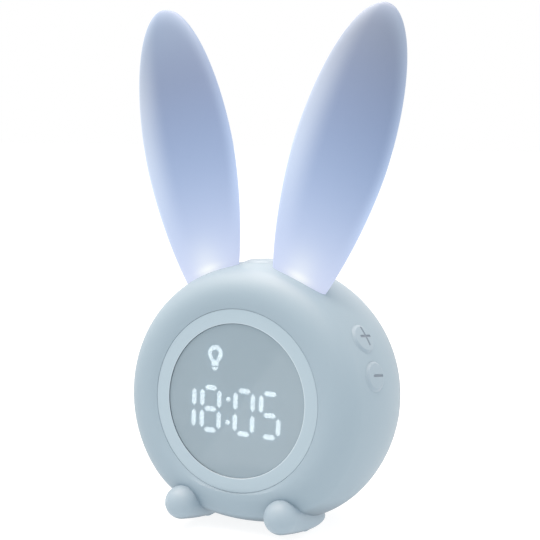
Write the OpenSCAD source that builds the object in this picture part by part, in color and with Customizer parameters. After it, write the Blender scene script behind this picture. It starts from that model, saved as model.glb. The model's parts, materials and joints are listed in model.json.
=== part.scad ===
// Kids' alarm clock with a night light in its two long ears.
// X runs to the right as the face is seen, Y to the back and Z up. The origin is on the
// ground, under the middle of the clock. Lengths are in millimetres, angles in degrees.
// Most pieces are placed in the casing's own frame, which leans back with the face:
// its origin is the middle of the round casing, and Y is the axis of the round.

/* [Casing] */
// Diameter of the round casing at its widest section
body_d = 108; // [104:0.5:112]
// Thickness of the casing's wall
wall = 2.3; // [1.8:0.1:2.8]
// Angle by which the face leans back
lean = 4; // [2:0.5:6]
// Depth that the flattened underside takes off the round
flat_rise = 3.7; // [2.5:0.1:5]
// Radius of the flattened underside, seen from the front
flat_r = 80; // [70:1:100]
// Gap between the underside and the ground
ground_gap = 0.75; // [0.5:0.05:1.5]
// Distance from the widest section back to the seam of shell and rear cover
seam_depth = 20; // [17:0.5:22]

/* [Section of the casing] */
// Distance of the widest section in front of the casing's origin
widest_ahead = 6; // [4:0.5:8]
// Radius of the side, from the widest section to the front corner
front_arc_r = 54; // [48:1:60]
// Angle over which that radius runs
front_sweep = 18.5; // [16:0.5:20]
// Radius of the rounded corner round the face
front_corner_r = 11.5; // [10:0.5:13]
// How far that corner stands proud of the bezel's seat
lip_proud = 0.95; // [0.5:0.05:1.4]
// Radius of the side behind the widest section
rear_arc_r = 60; // [54:1:66]
// Angle over which that radius runs
rear_sweep = 18; // [16:0.5:20]
// Radius of the shoulder behind it
shoulder_r = 44; // [40:1:48]
// Angle at which the shoulder meets the back corner
shoulder_sweep = 32; // [30:0.5:34]
// Radius of the back corner
back_corner_r = 14; // [12:0.5:16]

/* [Face] */
// Outer diameter of the bezel ring
bezel_d = 71.5; // [69:0.5:73]
// Thickness of the bezel ring
bezel_t = 1.6; // [1.4:0.1:2.2]
// Width of the bezel ring, from its outer edge to the window
bezel_band = 5.65; // [5:0.05:6.5]
// How far the lens lies behind the bezel's front
lens_recess = 0.35; // [0.2:0.05:0.6]
// Width of the lens's flange behind the bezel
lens_flange = 1.5; // [1.2:0.1:1.8]
// Thickness of the lens's flange
lens_flange_t = 0.8; // [0.6:0.1:1]
// Depth of the ledge that carries the bezel, which is also the mask's thickness
ledge_t = 3; // [2.4:0.1:4]
// Distance of the digits left of the face's middle
display_left = 4.4; // [2:0.1:5]
// Distance of the digits below the face's middle
display_down = 4.4; // [3:0.1:5]
// Distance between the outer digits and the middle of the display
outer_digit = 18.9; // [18.5:0.1:19.5]
// Distance between the inner digits and the middle of the display
inner_digit = 7.5; // [7:0.1:8]
// Width of a digit between the middles of its upright segments
digit_w = 7.7; // [7:0.1:8.2]
// Height of a digit between the middles of its level segments
digit_h = 16.7; // [15:0.1:18]
// Width of a segment
segment_w = 1.8; // [1.5:0.1:2.1]
// How much shorter an upright segment is than half the digit's height
upright_short = 1.7; // [1:0.1:2]
// How much shorter a level segment is than the digit's width
level_short = 2.3; // [1.6:0.1:2.6]
// Diameter of the lamp sign's bulb
sign_d = 6.5; // [5.5:0.1:7]
// Height of the lamp sign above the face's middle
sign_up = 17.5; // [16:0.1:19]

/* [Buttons] */
// Diameter of the round side buttons
key_d = 11.8; // [11:0.1:12.4]
// Distance between the two buttons of one side
key_pitch = 15.1; // [14.5:0.1:16]
// Angle of the pair of side buttons above the middle of the side
key_angle = 22; // [18:0.5:24]
// Distance of the side buttons in front of the widest section
key_ahead = 8.2; // [7.5:0.1:9]
// How far a side button stands out of the casing
key_proud = 0.7; // [0.5:0.05:1]
// Travel of a side button
key_travel = 1; // [0.6:0.1:1.2]
// Diameter of the night light button on the crown
top_key_d = 19.8; // [18:0.2:20.4]
// How far the night light button stands out of the casing
top_key_proud = 0.9; // [0.6:0.05:1.2]
// Travel of the night light button
top_key_travel = 0.8; // [0.5:0.1:1]
// Radial gap round a button in its bore
key_gap = 0.25; // [0.15:0.05:0.35]
// Thickness of the flange that holds a button in
key_flange_t = 1.2; // [0.8:0.1:1.6]
// Depth of the engraved signs
engrave = 0.3; // [0.2:0.05:0.5]

/* [Ears] */
// Length of an ear from its root inside the casing to its tip
ear_l = 112.4; // [105:0.5:118]
// Width of an ear at its widest
ear_w = 41; // [38:0.5:43]
// Height of the widest place above the root
ear_wide_at = 52.2; // [48:0.5:56]
// Length over which the lower part would taper to a point
ear_taper = 71.8; // [68:0.2:76]
// Thickness of an ear as a share of its width
ear_flatness = 0.31; // [0.28:0.01:0.36]
// Thickness of the ear's wall
ear_wall = 1.8; // [1.4:0.1:2.2]
// Angle of the ear's root on the casing, from the crown
ear_angle = 22.75; // [21.5:0.25:24]
// Distance of the ears in front of the widest section
ear_ahead = 11; // [10:0.5:12]
// Depth of the ear's root under the casing's skin
ear_sink = 3.1; // [2.5:0.1:3.6]
// Angle by which an ear leans outwards
ear_out = 16; // [14:0.5:18]
// Angle by which an ear leans back from the face
ear_back = 2.4; // [1:0.2:4]

/* [Feet] */
// Distance between the middles of the feet
foot_pitch = 44.4; // [41:0.2:48]
// Radius of a foot's toe
foot_r = 6.6; // [6:0.1:7.2]
// Length of the foot behind the toe's middle
foot_l = 37; // [33:0.5:40]
// Angle by which the toe is raised
foot_tilt = 13.3; // [11.5:0.1:15]
// Height of the toe's middle above the ground
toe_up = 10.4; // [9.8:0.1:11]
// Distance of the toe's front before the front of the casing
toe_out = 9.5; // [8.5:0.1:10.5]
// Thickness of the rubber pads under the feet
pad_t = 0.8; // [0.6:0.1:1.2]

/* [Inside] */
// Thickness of the circuit boards
board_t = 1.6; // [1.2:0.1:2]
// Distance of the case screws from the casing's axis
post_at = 38; // [37:0.25:39]
// Radius of the screw posts
post_r = 3.5; // [3:0.1:4]
// Diameter of the rechargeable cell
cell_d = 18.3; // [17:0.1:18.6]
// Length of the rechargeable cell
cell_l = 50; // [46:0.5:51]
// Length of the standoffs between display board and main board
standoff_l = 15; // [12:0.5:17]
// Diameter of the speaker
speaker_d = 40; // [36:0.5:42]
// Height of the speaker above the casing's middle
speaker_up = 10; // [8:0.5:12]
// Diameter of a hole in the speaker grille
grille_hole_d = 2.2; // [1.6:0.1:2.8]
// Spacing of the holes in the speaker grille
grille_step = 4.2; // [3.8:0.1:4.6]
// Depth of the charging inlet below the casing's middle
inlet_down = 25; // [22:0.5:26]

/* [Hidden] */
$fn = 72;

// Colours of the pieces
case_colour = [0.73, 0.79, 0.83];
bezel_colour = [0.76, 0.82, 0.86];
lens_colour = [0.62, 0.69, 0.73];
ear_colour = [0.72, 0.79, 0.9];
light_colour = [0.93, 0.97, 1];
board_colour = [0.16, 0.42, 0.3];
black_colour = [0.12, 0.12, 0.13];
metal_colour = [0.72, 0.72, 0.74];
cell_colour = [0.2, 0.5, 0.75];
rubber_colour = [0.5, 0.53, 0.56];

// Clearances: pieces that slip into each other, and faces that only just clear
fit = 0.15;
hair = 0.1;
// Larger than the whole clock, for cutting planes
far = 200;
// How far cutting shapes run past the faces they cut
over = 0.5;

body_r = body_d / 2;
key_r = key_d / 2;
top_key_r = top_key_d / 2;
bezel_r = bezel_d / 2;
window_r = bezel_d / 2 - bezel_band;
cell_r = cell_d / 2;
speaker_r = speaker_d / 2;
widest_y = -widest_ahead;
seam_y = widest_y + seam_depth;

// Middles of the section's arcs, each as [distance from the axis, depth]
front_mid = [body_r - front_arc_r, widest_y];
front_corner = front_mid + (front_arc_r - front_corner_r) * [cos(front_sweep), -sin(front_sweep)];
rear_mid = [body_r - rear_arc_r, widest_y];
shoulder_mid = rear_mid + (rear_arc_r - shoulder_r) * [cos(rear_sweep), sin(rear_sweep)];
back_corner = shoulder_mid
  + (shoulder_r - back_corner_r) * [cos(shoulder_sweep), sin(shoulder_sweep)];
front_y = front_corner[1] - front_corner_r;
face_y = front_y + lip_proud;
back_y = back_corner[1] + back_corner_r;

// The underside is a second, wider round, whose middle lies higher
flat_shift = flat_r - body_r;
flat_up = flat_shift + flat_rise;

// Place of the casing's frame above the ground, and along Y so that the clock is centred
head_z = (body_r - flat_rise) * cos(lean) + widest_y * sin(lean) + ground_gap;
toe_reach = toe_out - front_y;
back_reach = back_corner[1] * cos(lean) + back_corner[0] * sin(lean) + back_corner_r;
head_y = (toe_reach - back_reach) / 2;

// Distance from the axis to the skin at depth y
function arc_r(mid, r, y) = mid[0] + sqrt(max(0, pow(r, 2) - pow(y - mid[1], 2)));
function skin_r(y) =
  y < front_corner[1] - front_corner_r * sin(front_sweep) ? arc_r(front_corner, front_corner_r, y) :
  y < widest_y ? arc_r(front_mid, front_arc_r, y) :
  y < widest_y + rear_arc_r * sin(rear_sweep) ? arc_r(rear_mid, rear_arc_r, y) :
  y < shoulder_mid[1] + shoulder_r * sin(shoulder_sweep) ? arc_r(shoulder_mid, shoulder_r, y) :
  arc_r(back_corner, back_corner_r, y);

// Points of an arc of n steps
function arc(mid, r, a0, a1, n) =
  [for (i = [0:n]) mid + r * [cos(a0 + (a1 - a0) * i / n), sin(a0 + (a1 - a0) * i / n)]];

// The side of the section from the front corner, where it starts at angle a0, to the back
function side_points(inset, a0) = concat(
  arc(front_corner, front_corner_r - inset, a0, -front_sweep, 10),
  arc(front_mid, front_arc_r - inset, -front_sweep, 0, 6),
  arc(rear_mid, rear_arc_r - inset, 0, rear_sweep, 5),
  arc(shoulder_mid, shoulder_r - inset, rear_sweep, shoulder_sweep, 3),
  arc(back_corner, back_corner_r - inset, shoulder_sweep, 90, 7));

// Angle at which the front corner, inset, dips to the face's plane
function lip_angle(inset) =
  asin((front_corner[1] - face_y - inset) / (front_corner_r - inset)) - 180;

module casing_frame() translate([0, head_y, head_z]) rotate([-lean, 0, 0]) children();

// A solid of revolution about Y; the outline's x is the distance from the axis, its y the depth
module about_y() rotate([-90, 0, 0]) mirror([0, 1, 0]) rotate_extrude() children();

// A cylinder along Y between two depths
module rod_y(r, y0, y1) translate([0, y0, 0]) rotate([-90, 0, 0]) cylinder(r = r, h = y1 - y0);

module box_y(size_x, size_z, y0, y1)
  translate([-size_x / 2, y0, -size_z / 2]) cube([size_x, y1 - y0, size_z]);

casing_sides = 180;

// The casing's round form with its flattened underside, inset by a wall
module casing_form(inset = 0) intersection() {
  about_y($fn = casing_sides) polygon(concat([[0, face_y + inset]], side_points(inset, lip_angle(inset)),
    [[0, back_y - inset]]));
  translate([0, 0, flat_up]) about_y($fn = casing_sides) translate([flat_shift, 0]) polygon(concat(
    [[-flat_shift, front_y - 1], [front_corner[0], front_y - 1]], side_points(inset, -90),
    [[back_corner[0], back_y + 1], [-flat_shift, back_y + 1]]));
}

// Everything in front of, or behind, a depth
module ahead_of(y) translate([-far / 2, y - far, -far / 2]) cube(far);
module behind(y) translate([-far / 2, y, -far / 2]) cube(far);

// Both sides: side is 1 on the right and -1 on the left
module mirrored(side) mirror([side < 0 ? 1 : 0, 0, 0]) children();
module both_sides() for (side = [-1, 1]) mirrored(side) children();

// ---------- the stack behind the face, from the front to the back ----------

bezel_front = face_y;
bezel_back = bezel_front + bezel_t;
lens_front = bezel_front + lens_recess;
lens_r = window_r - fit;
lens_flange_r = window_r + lens_flange;
ledge_back = bezel_back + ledge_t;
ledge_r = lens_flange_r + 0.8;
mask_r = ledge_r - fit;
face_ring_r = bezel_r + 3;
display_board_r = bezel_r + 0.6;
display_board_back = ledge_back + board_t;
display_screw_at = (ledge_r + bezel_r) / 2 + 0.4;
display_screw_angles = [0, 90, 180, 270];

module bezel_ring() color(bezel_colour) casing_frame() about_y() polygon([
  [window_r, bezel_front], [bezel_r, bezel_front], [bezel_r, bezel_back],
  [lens_flange_r + fit, bezel_back], [lens_flange_r + fit, bezel_back - lens_flange_t],
  [window_r, bezel_back - lens_flange_t]]);

module display_lens() color(lens_colour) casing_frame() {
  rod_y(lens_r, lens_front, bezel_back);
  rod_y(lens_flange_r, bezel_back - lens_flange_t, bezel_back);
}

// Segments in the order a to g, each as [across, up, turned upright]
segment_places = [[0, 1, 0], [1, 0.5, 1], [1, -0.5, 1], [0, -1, 0], [-1, -0.5, 1], [-1, 0.5, 1],
  [0, 0, 0]];
digit_places = [-outer_digit, -inner_digit, inner_digit, outer_digit];
// The segments that light to show 18:05
lit = [[0, 1, 1, 0, 0, 0, 0], [1, 1, 1, 1, 1, 1, 1], [1, 1, 1, 1, 1, 1, 0], [1, 0, 1, 1, 0, 1, 1]];

// The display is drawn for a window of this radius, and grows with the window
drawn_window_r = 30.1;
growth = window_r / drawn_window_r;

// A flat figure drawn on the face, as seen from the front, given depth from y0 to y1
module on_face(y0, y1) translate([0, y1, 0]) rotate([90, 0, 0]) linear_extrude(y1 - y0)
  scale([growth, growth]) children();

module segment_outline(length, grow) {
  l = length / 2 + grow;
  w = segment_w / 2 + grow;
  polygon([[-l, 0], [w - l, w], [l - w, w], [l, 0], [l - w, -w], [w - l, -w]]);
}

// Segments of all digits that are lit, or are not
module segments(want, grow = 0)
  translate([-display_left, -display_down])
    for (d = [0:3], s = [0:6])
      if (lit[d][s] == want) {
        place = segment_places[s];
        upright = place[2] == 1;
        translate([digit_places[d] + place[0] * digit_w / 2, place[1] * digit_h / 2])
          rotate(upright ? 90 : 0)
            segment_outline(upright ? digit_h / 2 - upright_short : digit_w - level_short, grow);
      }

colon_r = segment_w / 2;
colon_right = 0.4;
colon_up = digit_h * 0.27;
module colon(grow = 0) translate([-display_left, -display_down])
  for (up = [-1, 1]) translate([colon_right, up * colon_up]) circle(colon_r + grow, $fn = 24);

// A generic lamp: a hollow bulb that narrows to its neck, and a screw base below it
sign_r = sign_d / 2;
sign_ring_t = 1.6;
sign_neck_half = 1.5;
sign_neck_down = 4.7;
sign_taper_down = 3.4;
sign_hollow_down = 2.7;
sign_base_down = 5.4;
sign_base_h = 1.2;
sign_left_of_digits = 6.1;
sign_left = display_left + sign_left_of_digits;

// A circle that narrows to a straight neck
module bulb_outline(r, neck_half, taper_down, down) {
  circle(r, $fn = 40);
  polygon([[-r * 0.94, -r * 0.34], [-neck_half, -taper_down], [-neck_half, -down],
    [neck_half, -down], [neck_half, -taper_down], [r * 0.94, -r * 0.34]]);
}

module lamp_sign(grow = 0) translate([-sign_left, sign_up]) {
  hollow_r = sign_r - sign_ring_t - grow;
  difference() {
    bulb_outline(sign_r + grow, sign_neck_half + grow, sign_taper_down, sign_neck_down + grow);
    bulb_outline(hollow_r, hollow_r * 0.35, sign_hollow_down - grow, sign_hollow_down - grow);
  }
  translate([0, -sign_base_down]) polygon([
    [-sign_neck_half - grow, grow], [sign_neck_half + grow, grow],
    [sign_neck_half / 3 + grow, -sign_base_h - grow],
    [-sign_neck_half / 3 - grow, -sign_base_h - grow]]);
}

// Gap round each light pipe in its cell of the mask, and the room for the LEDs behind it
cell_gap = 0.12;
led_room = 1.1;
sign_led_up = 1;
sign_led_cell_r = 1;
pipe_back = ledge_back - led_room;

// The middle of the lamp is held by the web behind its bulb, which is open only at its LED
module display_mask() color(lens_colour) casing_frame() difference() {
  rod_y(mask_r, bezel_back, ledge_back);
  on_face(bezel_back - over, ledge_back + over) {
    segments(1, cell_gap);
    segments(0, cell_gap);
    colon(cell_gap);
    translate([-sign_left, sign_up - sign_neck_down + sign_led_up]) circle(sign_led_cell_r, $fn = 24);
  }
  on_face(bezel_back - over, pipe_back) lamp_sign(cell_gap);
}

module lit_segments() color(light_colour) casing_frame() on_face(bezel_back, pipe_back) {
  segments(1);
  colon();
  lamp_sign();
}

module unlit_segments() color(lens_colour) casing_frame() on_face(bezel_back, pipe_back)
  segments(0);

led_size = [1.5, 0.8, 0.8];
colon_led_w = 1.1;
module led_chip(w = led_size[0]) translate([-w / 2, ledge_back - led_size[1], -led_size[2] / 2])
  cube([w, led_size[1], led_size[2]]);

module display_leds() color(light_colour) casing_frame() {
  translate(growth * [-display_left, 0, -display_down]) {
    for (d = [0:3], place = segment_places)
      translate(growth * [digit_places[d] + place[0] * digit_w / 2, 0, place[1] * digit_h / 2])
        rotate([0, place[2] * 90, 0]) led_chip();
    for (up = [-1, 1]) translate(growth * [colon_right, 0, up * colon_up]) led_chip(colon_led_w);
  }
  translate(growth * [-sign_left, 0, sign_up - sign_neck_down + sign_led_up]) led_chip();
}

// Places round the casing's axis
module round_the_axis(r, angles) for (a = angles) translate([r * cos(a), 0, r * sin(a)]) children();

post_angles = [44, 136, 242, 298];
pilot_r = 0.8;
display_screw_in = ledge_t * 0.7;
small_screw_r = 1;
small_head_r = 1.9;
small_head_h = 1.2;

module display_board() color(board_colour) casing_frame() difference() {
  rod_y(display_board_r, ledge_back, display_board_back);
  round_the_axis(post_at, post_angles)
    rod_y(post_r + 2 * fit, ledge_back - over, display_board_back + over);
  round_the_axis(display_screw_at, display_screw_angles)
    rod_y(small_screw_r + hair, ledge_back - over, display_board_back + over);
  standoff_places() rod_y(standoff_foot_r, ledge_back - over, display_board_back + over);
}

module display_screws() color(metal_colour) casing_frame()
  round_the_axis(display_screw_at, display_screw_angles) {
    rod_y(pilot_r, ledge_back - display_screw_in, display_board_back + over);
    rod_y(small_head_r, display_board_back, display_board_back + small_head_h);
  }

// ---------- buttons ----------

top_key_boss_r = top_key_r + key_gap + 1.45;
side_key_boss_r = key_r + key_gap + 1.6;
top_key_flange_r = top_key_r + 0.7;
side_key_flange_r = key_r + 1.2;
side_key_y = widest_y - key_ahead;
stem_r = 1.7;
stem_gap = 0.4;
stem_engaged = 0.6;
switch_w = 6;
switch_h = 3.6;

// Height, along a direction square to the axis, of a flat seat just inside the wall
function flat_seat(y, reach, half_width) =
  sqrt(pow(min(skin_r(y - reach), skin_r(y + reach)) - wall, 2) - pow(half_width, 2)) - 0.3;
top_seat = flat_seat(widest_y, top_key_boss_r, top_key_boss_r);
side_seat = flat_seat(side_key_y, side_key_boss_r, key_pitch / 2 + side_key_boss_r);

// Heights of a button's stem, switch and board below its seat
function switch_top(travel) = -key_flange_t - travel - stem_gap;
function stem_end(travel) = switch_top(travel) - stem_engaged;
function board_top(travel) = switch_top(travel) - switch_h;

// Place of the night light button in the casing's frame: origin on the axis, Z out of the
// crown. Its rounds are turned so that none starts on the line of the widest section.
module top_key_place() translate([0, widest_y, 0]) children();
module top_key_round() rotate(30) children();
module top_key_frame() casing_frame() top_key_place() children();

// Frame of a pair of side buttons: X to the back, Y up the side, Z out of it
module side_key_frame() translate([0, side_key_y, 0]) rotate([0, 90 - key_angle, 0])
  rotate(90) children();

module key_body(r, flange_r, seat, travel) {
  cylinder(r = r, h = far / 2 - over);
  translate([0, 0, seat - key_flange_t]) cylinder(r = flange_r, h = key_flange_t);
  translate([0, 0, seat + stem_end(travel)]) cylinder(r = stem_r, h = -stem_end(travel));
}

// The button is cut by the casing's form, moved out by how far it stands proud
module night_light_button() color(bezel_colour) casing_frame() intersection() {
  casing_form(-top_key_proud);
  top_key_place() top_key_round() difference() {
    key_body(top_key_r, top_key_flange_r, top_seat, top_key_travel);
    below_flange(top_key_flange_r, top_seat, top_key_travel);
  }
}

// Room under the flange, round the stem
module below_flange(flange_r, seat, travel) difference() {
  translate([0, 0, -over]) cylinder(r = flange_r + 1, h = seat - key_flange_t + over);
  translate([0, 0, seat + stem_end(travel)]) cylinder(r = stem_r, h = far);
}

// place is -1 for the lower and 1 for the upper button of the pair
module side_button(side, place) color(case_colour) casing_frame() mirrored(side) difference() {
  intersection() {
    casing_form(-key_proud);
    side_key_frame() translate([0, place * key_pitch / 2, 0]) difference() {
      key_body(key_r, side_key_flange_r, side_seat, key_travel);
      below_flange(side_key_flange_r, side_seat, key_travel);
    }
  }
  difference() {
    side_key_frame() translate([0, place * key_pitch / 2, 0])
      linear_extrude(far / 2) children();
    casing_form(engrave - key_proud);
  }
}

sign_bar = 8.2;
sign_bar_w = 1;
module bar() square([sign_bar, sign_bar_w], center = true);
module plus_button() side_button(1, 1) { union() { bar(); rotate(90) bar(); } }
module minus_button() side_button(1, -1) bar();
module mode_button() side_button(-1, 1) circle(sign_bar / 4, $fn = 24);
module alarm_button() side_button(-1, -1) difference() {
  circle(sign_bar / 2, $fn = 32);
  circle(sign_bar / 2 - sign_bar_w, $fn = 32);
}

// Circuit boards behind the buttons
board_screw_edge = 2.6;
side_board_size = [18.5, key_pitch + 3 * board_screw_edge];
side_board_ahead = 5;
side_board_back_reach = side_board_size[0] - side_board_ahead;
side_board_screw_half = 8;
side_board_screw = [side_board_back_reach - board_screw_edge, side_board_screw_half];
top_board_size = [22, 19.5];
top_board_ahead = 4;
top_board_screw = [top_board_size[0] / 2 - board_screw_edge - 0.4,
  top_board_size[1] - top_board_ahead - board_screw_edge];
board_boss_r = 2.2;

module side_board_screws() for (place = [-1, 1])
  translate([side_board_screw[0], place * side_board_screw[1], side_seat + board_top(key_travel)])
    children();
module top_board_screws() for (side = [-1, 1])
  translate([side * top_board_screw[0], top_board_screw[1], top_seat + board_top(top_key_travel)])
    children();

module switch_block(travel) difference() {
  translate([-switch_w / 2, -switch_w / 2, board_top(travel)])
    cube([switch_w, switch_w, switch_h]);
  translate([0, 0, stem_end(travel) - travel - hair])
    cylinder(r = stem_r + hair, h = switch_h);
}

module key_switches() color(black_colour) {
  top_key_frame() translate([0, 0, top_seat]) switch_block(top_key_travel);
  casing_frame() both_sides() side_key_frame() for (place = [-1, 1])
    translate([0, place * key_pitch / 2, side_seat]) switch_block(key_travel);
}

module side_key_board(side) color(board_colour) casing_frame() mirrored(side)
  side_key_frame() difference() {
    translate([side_board_back_reach - side_board_size[0], -side_board_size[1] / 2,
      side_seat + board_top(key_travel) - board_t])
      cube([side_board_size[0], side_board_size[1], board_t]);
    side_board_screws() translate([0, 0, -board_t - over])
      cylinder(r = small_screw_r + hair, h = board_t + 2 * over);
  }
module right_key_board() side_key_board(1);
module left_key_board() side_key_board(-1);

module night_light_key_board() color(board_colour) top_key_frame() difference() {
  translate([-top_board_size[0] / 2, -top_board_ahead,
    top_seat + board_top(top_key_travel) - board_t])
      cube([top_board_size[0], top_board_size[1], board_t]);
  top_board_screws() translate([0, 0, -board_t - over])
    cylinder(r = small_screw_r + hair, h = board_t + 2 * over);
}

screw_in = 3.4;
module small_screw() {
  translate([0, 0, -board_t - small_head_h]) cylinder(r = small_head_r, h = small_head_h);
  translate([0, 0, -board_t - over]) cylinder(r = pilot_r, h = board_t + screw_in + over);
}
module key_board_screws() color(metal_colour) {
  top_key_frame() top_board_screws() small_screw();
  casing_frame() both_sides() side_key_frame() side_board_screws() small_screw();
}

// ---------- ears ----------

ear_y = widest_y - ear_ahead;
ear_r = skin_r(ear_y) - ear_sink;
neck_half = 9.5;
neck_thick = 5.2;
throat_half = 5.5;
throat_thick = 2.4;
neck_down = 6;
ear_floor = 8;
ear_board_half = 14.5;
ear_board_w = 10;
ear_screw_at = 7.5;
ear_pad_at = 12;
ear_pad_r = 2;
ear_steps = 11;
ear_sides = 28;

// Frame of the right ear: origin at its root, Z to the tip, X outwards
module ear_frame() translate([ear_r * sin(ear_angle), ear_y, ear_r * cos(ear_angle)])
  rotate([-ear_back, ear_out, 0]) children();

// Half the width of the ear at height s, less an inset: a tapering root and a rounded tip
taper_power = 1.65;
function ear_half(s, inset) = s < ear_wide_at
  ? (ear_w / 2 - inset) * pow(1 - pow((ear_wide_at - s) / ear_taper, taper_power), 1 / taper_power)
  : (ear_w / 2 - inset)
    * sqrt(max(0, 1 - pow((s - ear_wide_at) / (ear_l - inset - ear_wide_at), 2)));

// Heights of the ear's rings, closer towards the tip
function ear_heights(low, inset) = concat(
  [for (i = [0:ear_steps - 1]) low + (ear_wide_at - low) * i / ear_steps],
  [for (i = [0:ear_steps]) ear_wide_at + (ear_l - inset - ear_wide_at) * sin(89 * i / ear_steps)]);

// A closed solid through oval rings, each as [height, half width, half thickness]
module ring_form(rings, sides) {
  n = len(rings);
  points = [for (ring = rings, i = [0:sides - 1])
    [ring[1] * cos(360 * i / sides), ring[2] * sin(360 * i / sides), ring[0]]];
  polyhedron(points, concat(
    [[for (i = [0:sides - 1]) i]],
    [for (k = [0:n - 2], i = [0:sides - 1])
      [k * sides + i, (k + 1) * sides + i, (k + 1) * sides + (i + 1) % sides,
       k * sides + (i + 1) % sides]],
    [[for (i = [sides - 1:-1:0]) (n - 1) * sides + i]]), convexity = 4);
}

module ear_outside() ring_form([for (s = ear_heights(0, 0))
  [s, ear_half(s, 0), ear_half(s, 0) * ear_flatness]], ear_sides);

// The hollow keeps the wall's thickness across the ear as well as round its edge
hollow_flatness = (ear_w / 2 * ear_flatness - ear_wall) / (ear_w / 2 - ear_wall);
module ear_hollow() ring_form([for (s = ear_heights(ear_floor, ear_wall))
  [s, ear_half(s, ear_wall), ear_half(s, ear_wall) * hollow_flatness]], ear_sides);

// An upright slot with round ends, from height z0 to z1
module slot_form(half, thick, z0, z1) translate([0, 0, z0]) {
  for (side = [-1, 1]) translate([side * (half - thick / 2), 0, 0])
    cylinder(r = thick / 2, h = z1 - z0);
  translate([thick / 2 - half, -thick / 2, 0]) cube([2 * half - thick, thick, z1 - z0]);
}

module ear(side) color(ear_colour) casing_frame() mirrored(side) difference() {
  union() {
    difference() {
      ear_frame() ear_outside();
      casing_form();
    }
    ear_frame() slot_form(neck_half, neck_thick, -neck_down, ear_floor - 1);
  }
  ear_frame() {
    ear_hollow();
    slot_form(throat_half, throat_thick, -neck_down - over, ear_floor + 1);
    for (s = [-1, 1]) translate([s * ear_screw_at, 0, -neck_down - over])
      cylinder(r = pilot_r, h = screw_in + over);
  }
}
module left_ear() ear(-1);
module right_ear() ear(1);

ear_board_top = -neck_down - hair;
module ear_board(side) color(board_colour) casing_frame() mirrored(side) ear_frame() difference() {
  translate([-ear_board_half, -ear_board_w / 2, ear_board_top - board_t])
    cube([2 * ear_board_half, ear_board_w, board_t]);
  for (s = [-1, 1]) translate([s * ear_screw_at, 0, ear_board_top - board_t - over])
    cylinder(r = small_screw_r + hair, h = board_t + 2 * over);
}
module left_ear_board() ear_board(-1);
module right_ear_board() ear_board(1);

ear_led_step = 3;
module ear_leds() color(light_colour) casing_frame() both_sides() ear_frame()
  for (i = [-1:1]) translate([i * ear_led_step - 1, -0.8, ear_board_top]) cube([2, 1.6, 0.9]);

module ear_screws() color(metal_colour) casing_frame() both_sides() ear_frame()
  for (s = [-1, 1]) translate([s * ear_screw_at, 0, ear_board_top]) small_screw();

// ---------- shell and rear cover ----------

case_screw_r = 1.3;
case_screw_head_r = 2.8;
case_screw_head_h = 2.2;
case_screw_in = 10;
tunnel_r = 5;
tunnel_floor = 3;
lip_t = 1.2;
lip_inset = wall + 2 * fit;
lip_depth = 4;
peg_r = 2;
peg_boss_r = 3.4;
nut_t = 0.8;
nut_r = 3.4;

module outward_boss(r, z0) translate([0, 0, z0]) cylinder(r = r, h = far / 2);

// What stands inside the shell's wall
module shell_bosses() {
  rod_y(face_ring_r, front_y, ledge_back);
  round_the_axis(post_at, post_angles) rod_y(post_r, front_y, seam_y);
  top_key_place() {
    top_key_round() outward_boss(top_key_boss_r, top_seat);
    top_board_screws() cylinder(r = board_boss_r, h = far / 2);
  }
  both_sides() side_key_frame() {
    for (place = [-1, 1]) translate([0, place * key_pitch / 2, 0])
      outward_boss(side_key_boss_r, side_seat);
    side_board_screws() cylinder(r = board_boss_r, h = far / 2);
  }
  both_sides() ear_frame() for (s = [-1, 1]) translate([s * ear_pad_at, 0, ear_board_top])
    cylinder(r = ear_pad_r, h = 2 * neck_down);
  both_sides() peg_frame() translate([0, 0, -far / 2]) cylinder(r = peg_boss_r, h = far / 2);
}

module shell_holes() {
  rod_y(bezel_r + hair, front_y - 1, bezel_back);
  rod_y(ledge_r, front_y, ledge_back + over);
  round_the_axis(display_screw_at, display_screw_angles)
    rod_y(pilot_r, ledge_back - display_screw_in, ledge_back + over);
  round_the_axis(post_at, post_angles)
    rod_y(case_screw_r, seam_y - case_screw_in - 1, seam_y + over);
  top_key_place() {
    top_key_round() cylinder(r = top_key_r + key_gap, h = far / 2);
    top_board_screws() translate([0, 0, -over]) cylinder(r = pilot_r, h = screw_in + over);
  }
  both_sides() side_key_frame() {
    for (place = [-1, 1]) translate([0, place * key_pitch / 2, 0])
      cylinder(r = key_r + key_gap, h = far / 2);
    side_board_screws() translate([0, 0, -over]) cylinder(r = pilot_r, h = screw_in + over);
  }
  both_sides() ear_frame()
    slot_form(neck_half + fit, neck_thick + 2 * fit, -neck_down, 2 * ear_floor);
  both_sides() peg_frame() translate([0, 0, -far / 2]) cylinder(r = peg_r + fit, h = far / 2 + over);
}

module main_shell() color(case_colour) casing_frame() difference() {
  casing_form();
  difference() {
    casing_form(wall);
    shell_bosses();
  }
  behind(seam_y);
  shell_holes();
}

inlet_z = -inlet_down;
inlet_w = 9;
inlet_h = 3.2;
inlet_depth = 7;
charge_boss_x = 7.4;
charge_boss_r = 2.3;
charge_screw_in = 3.4;
cover_inside_y = back_y - wall;
charge_board_y = cover_inside_y - inlet_depth + 1;
speaker_flange_t = 1.2;
gasket_t = 1;
speaker_flange_back = cover_inside_y - gasket_t - speaker_flange_t;
speaker_screw_at = speaker_r + 2.6;
speaker_screw_angles = [90, 210, 330];
speaker_boss_r = 2.4;
speaker_screw_in = charge_screw_in - 1;
module at_speaker() translate([0, 0, speaker_up]) children();
module at_inlet() translate([0, 0, inlet_z]) children();
module charge_screw_places() at_inlet() for (s = [-1, 1]) translate([s * charge_boss_x, 0, 0])
  children();

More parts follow.
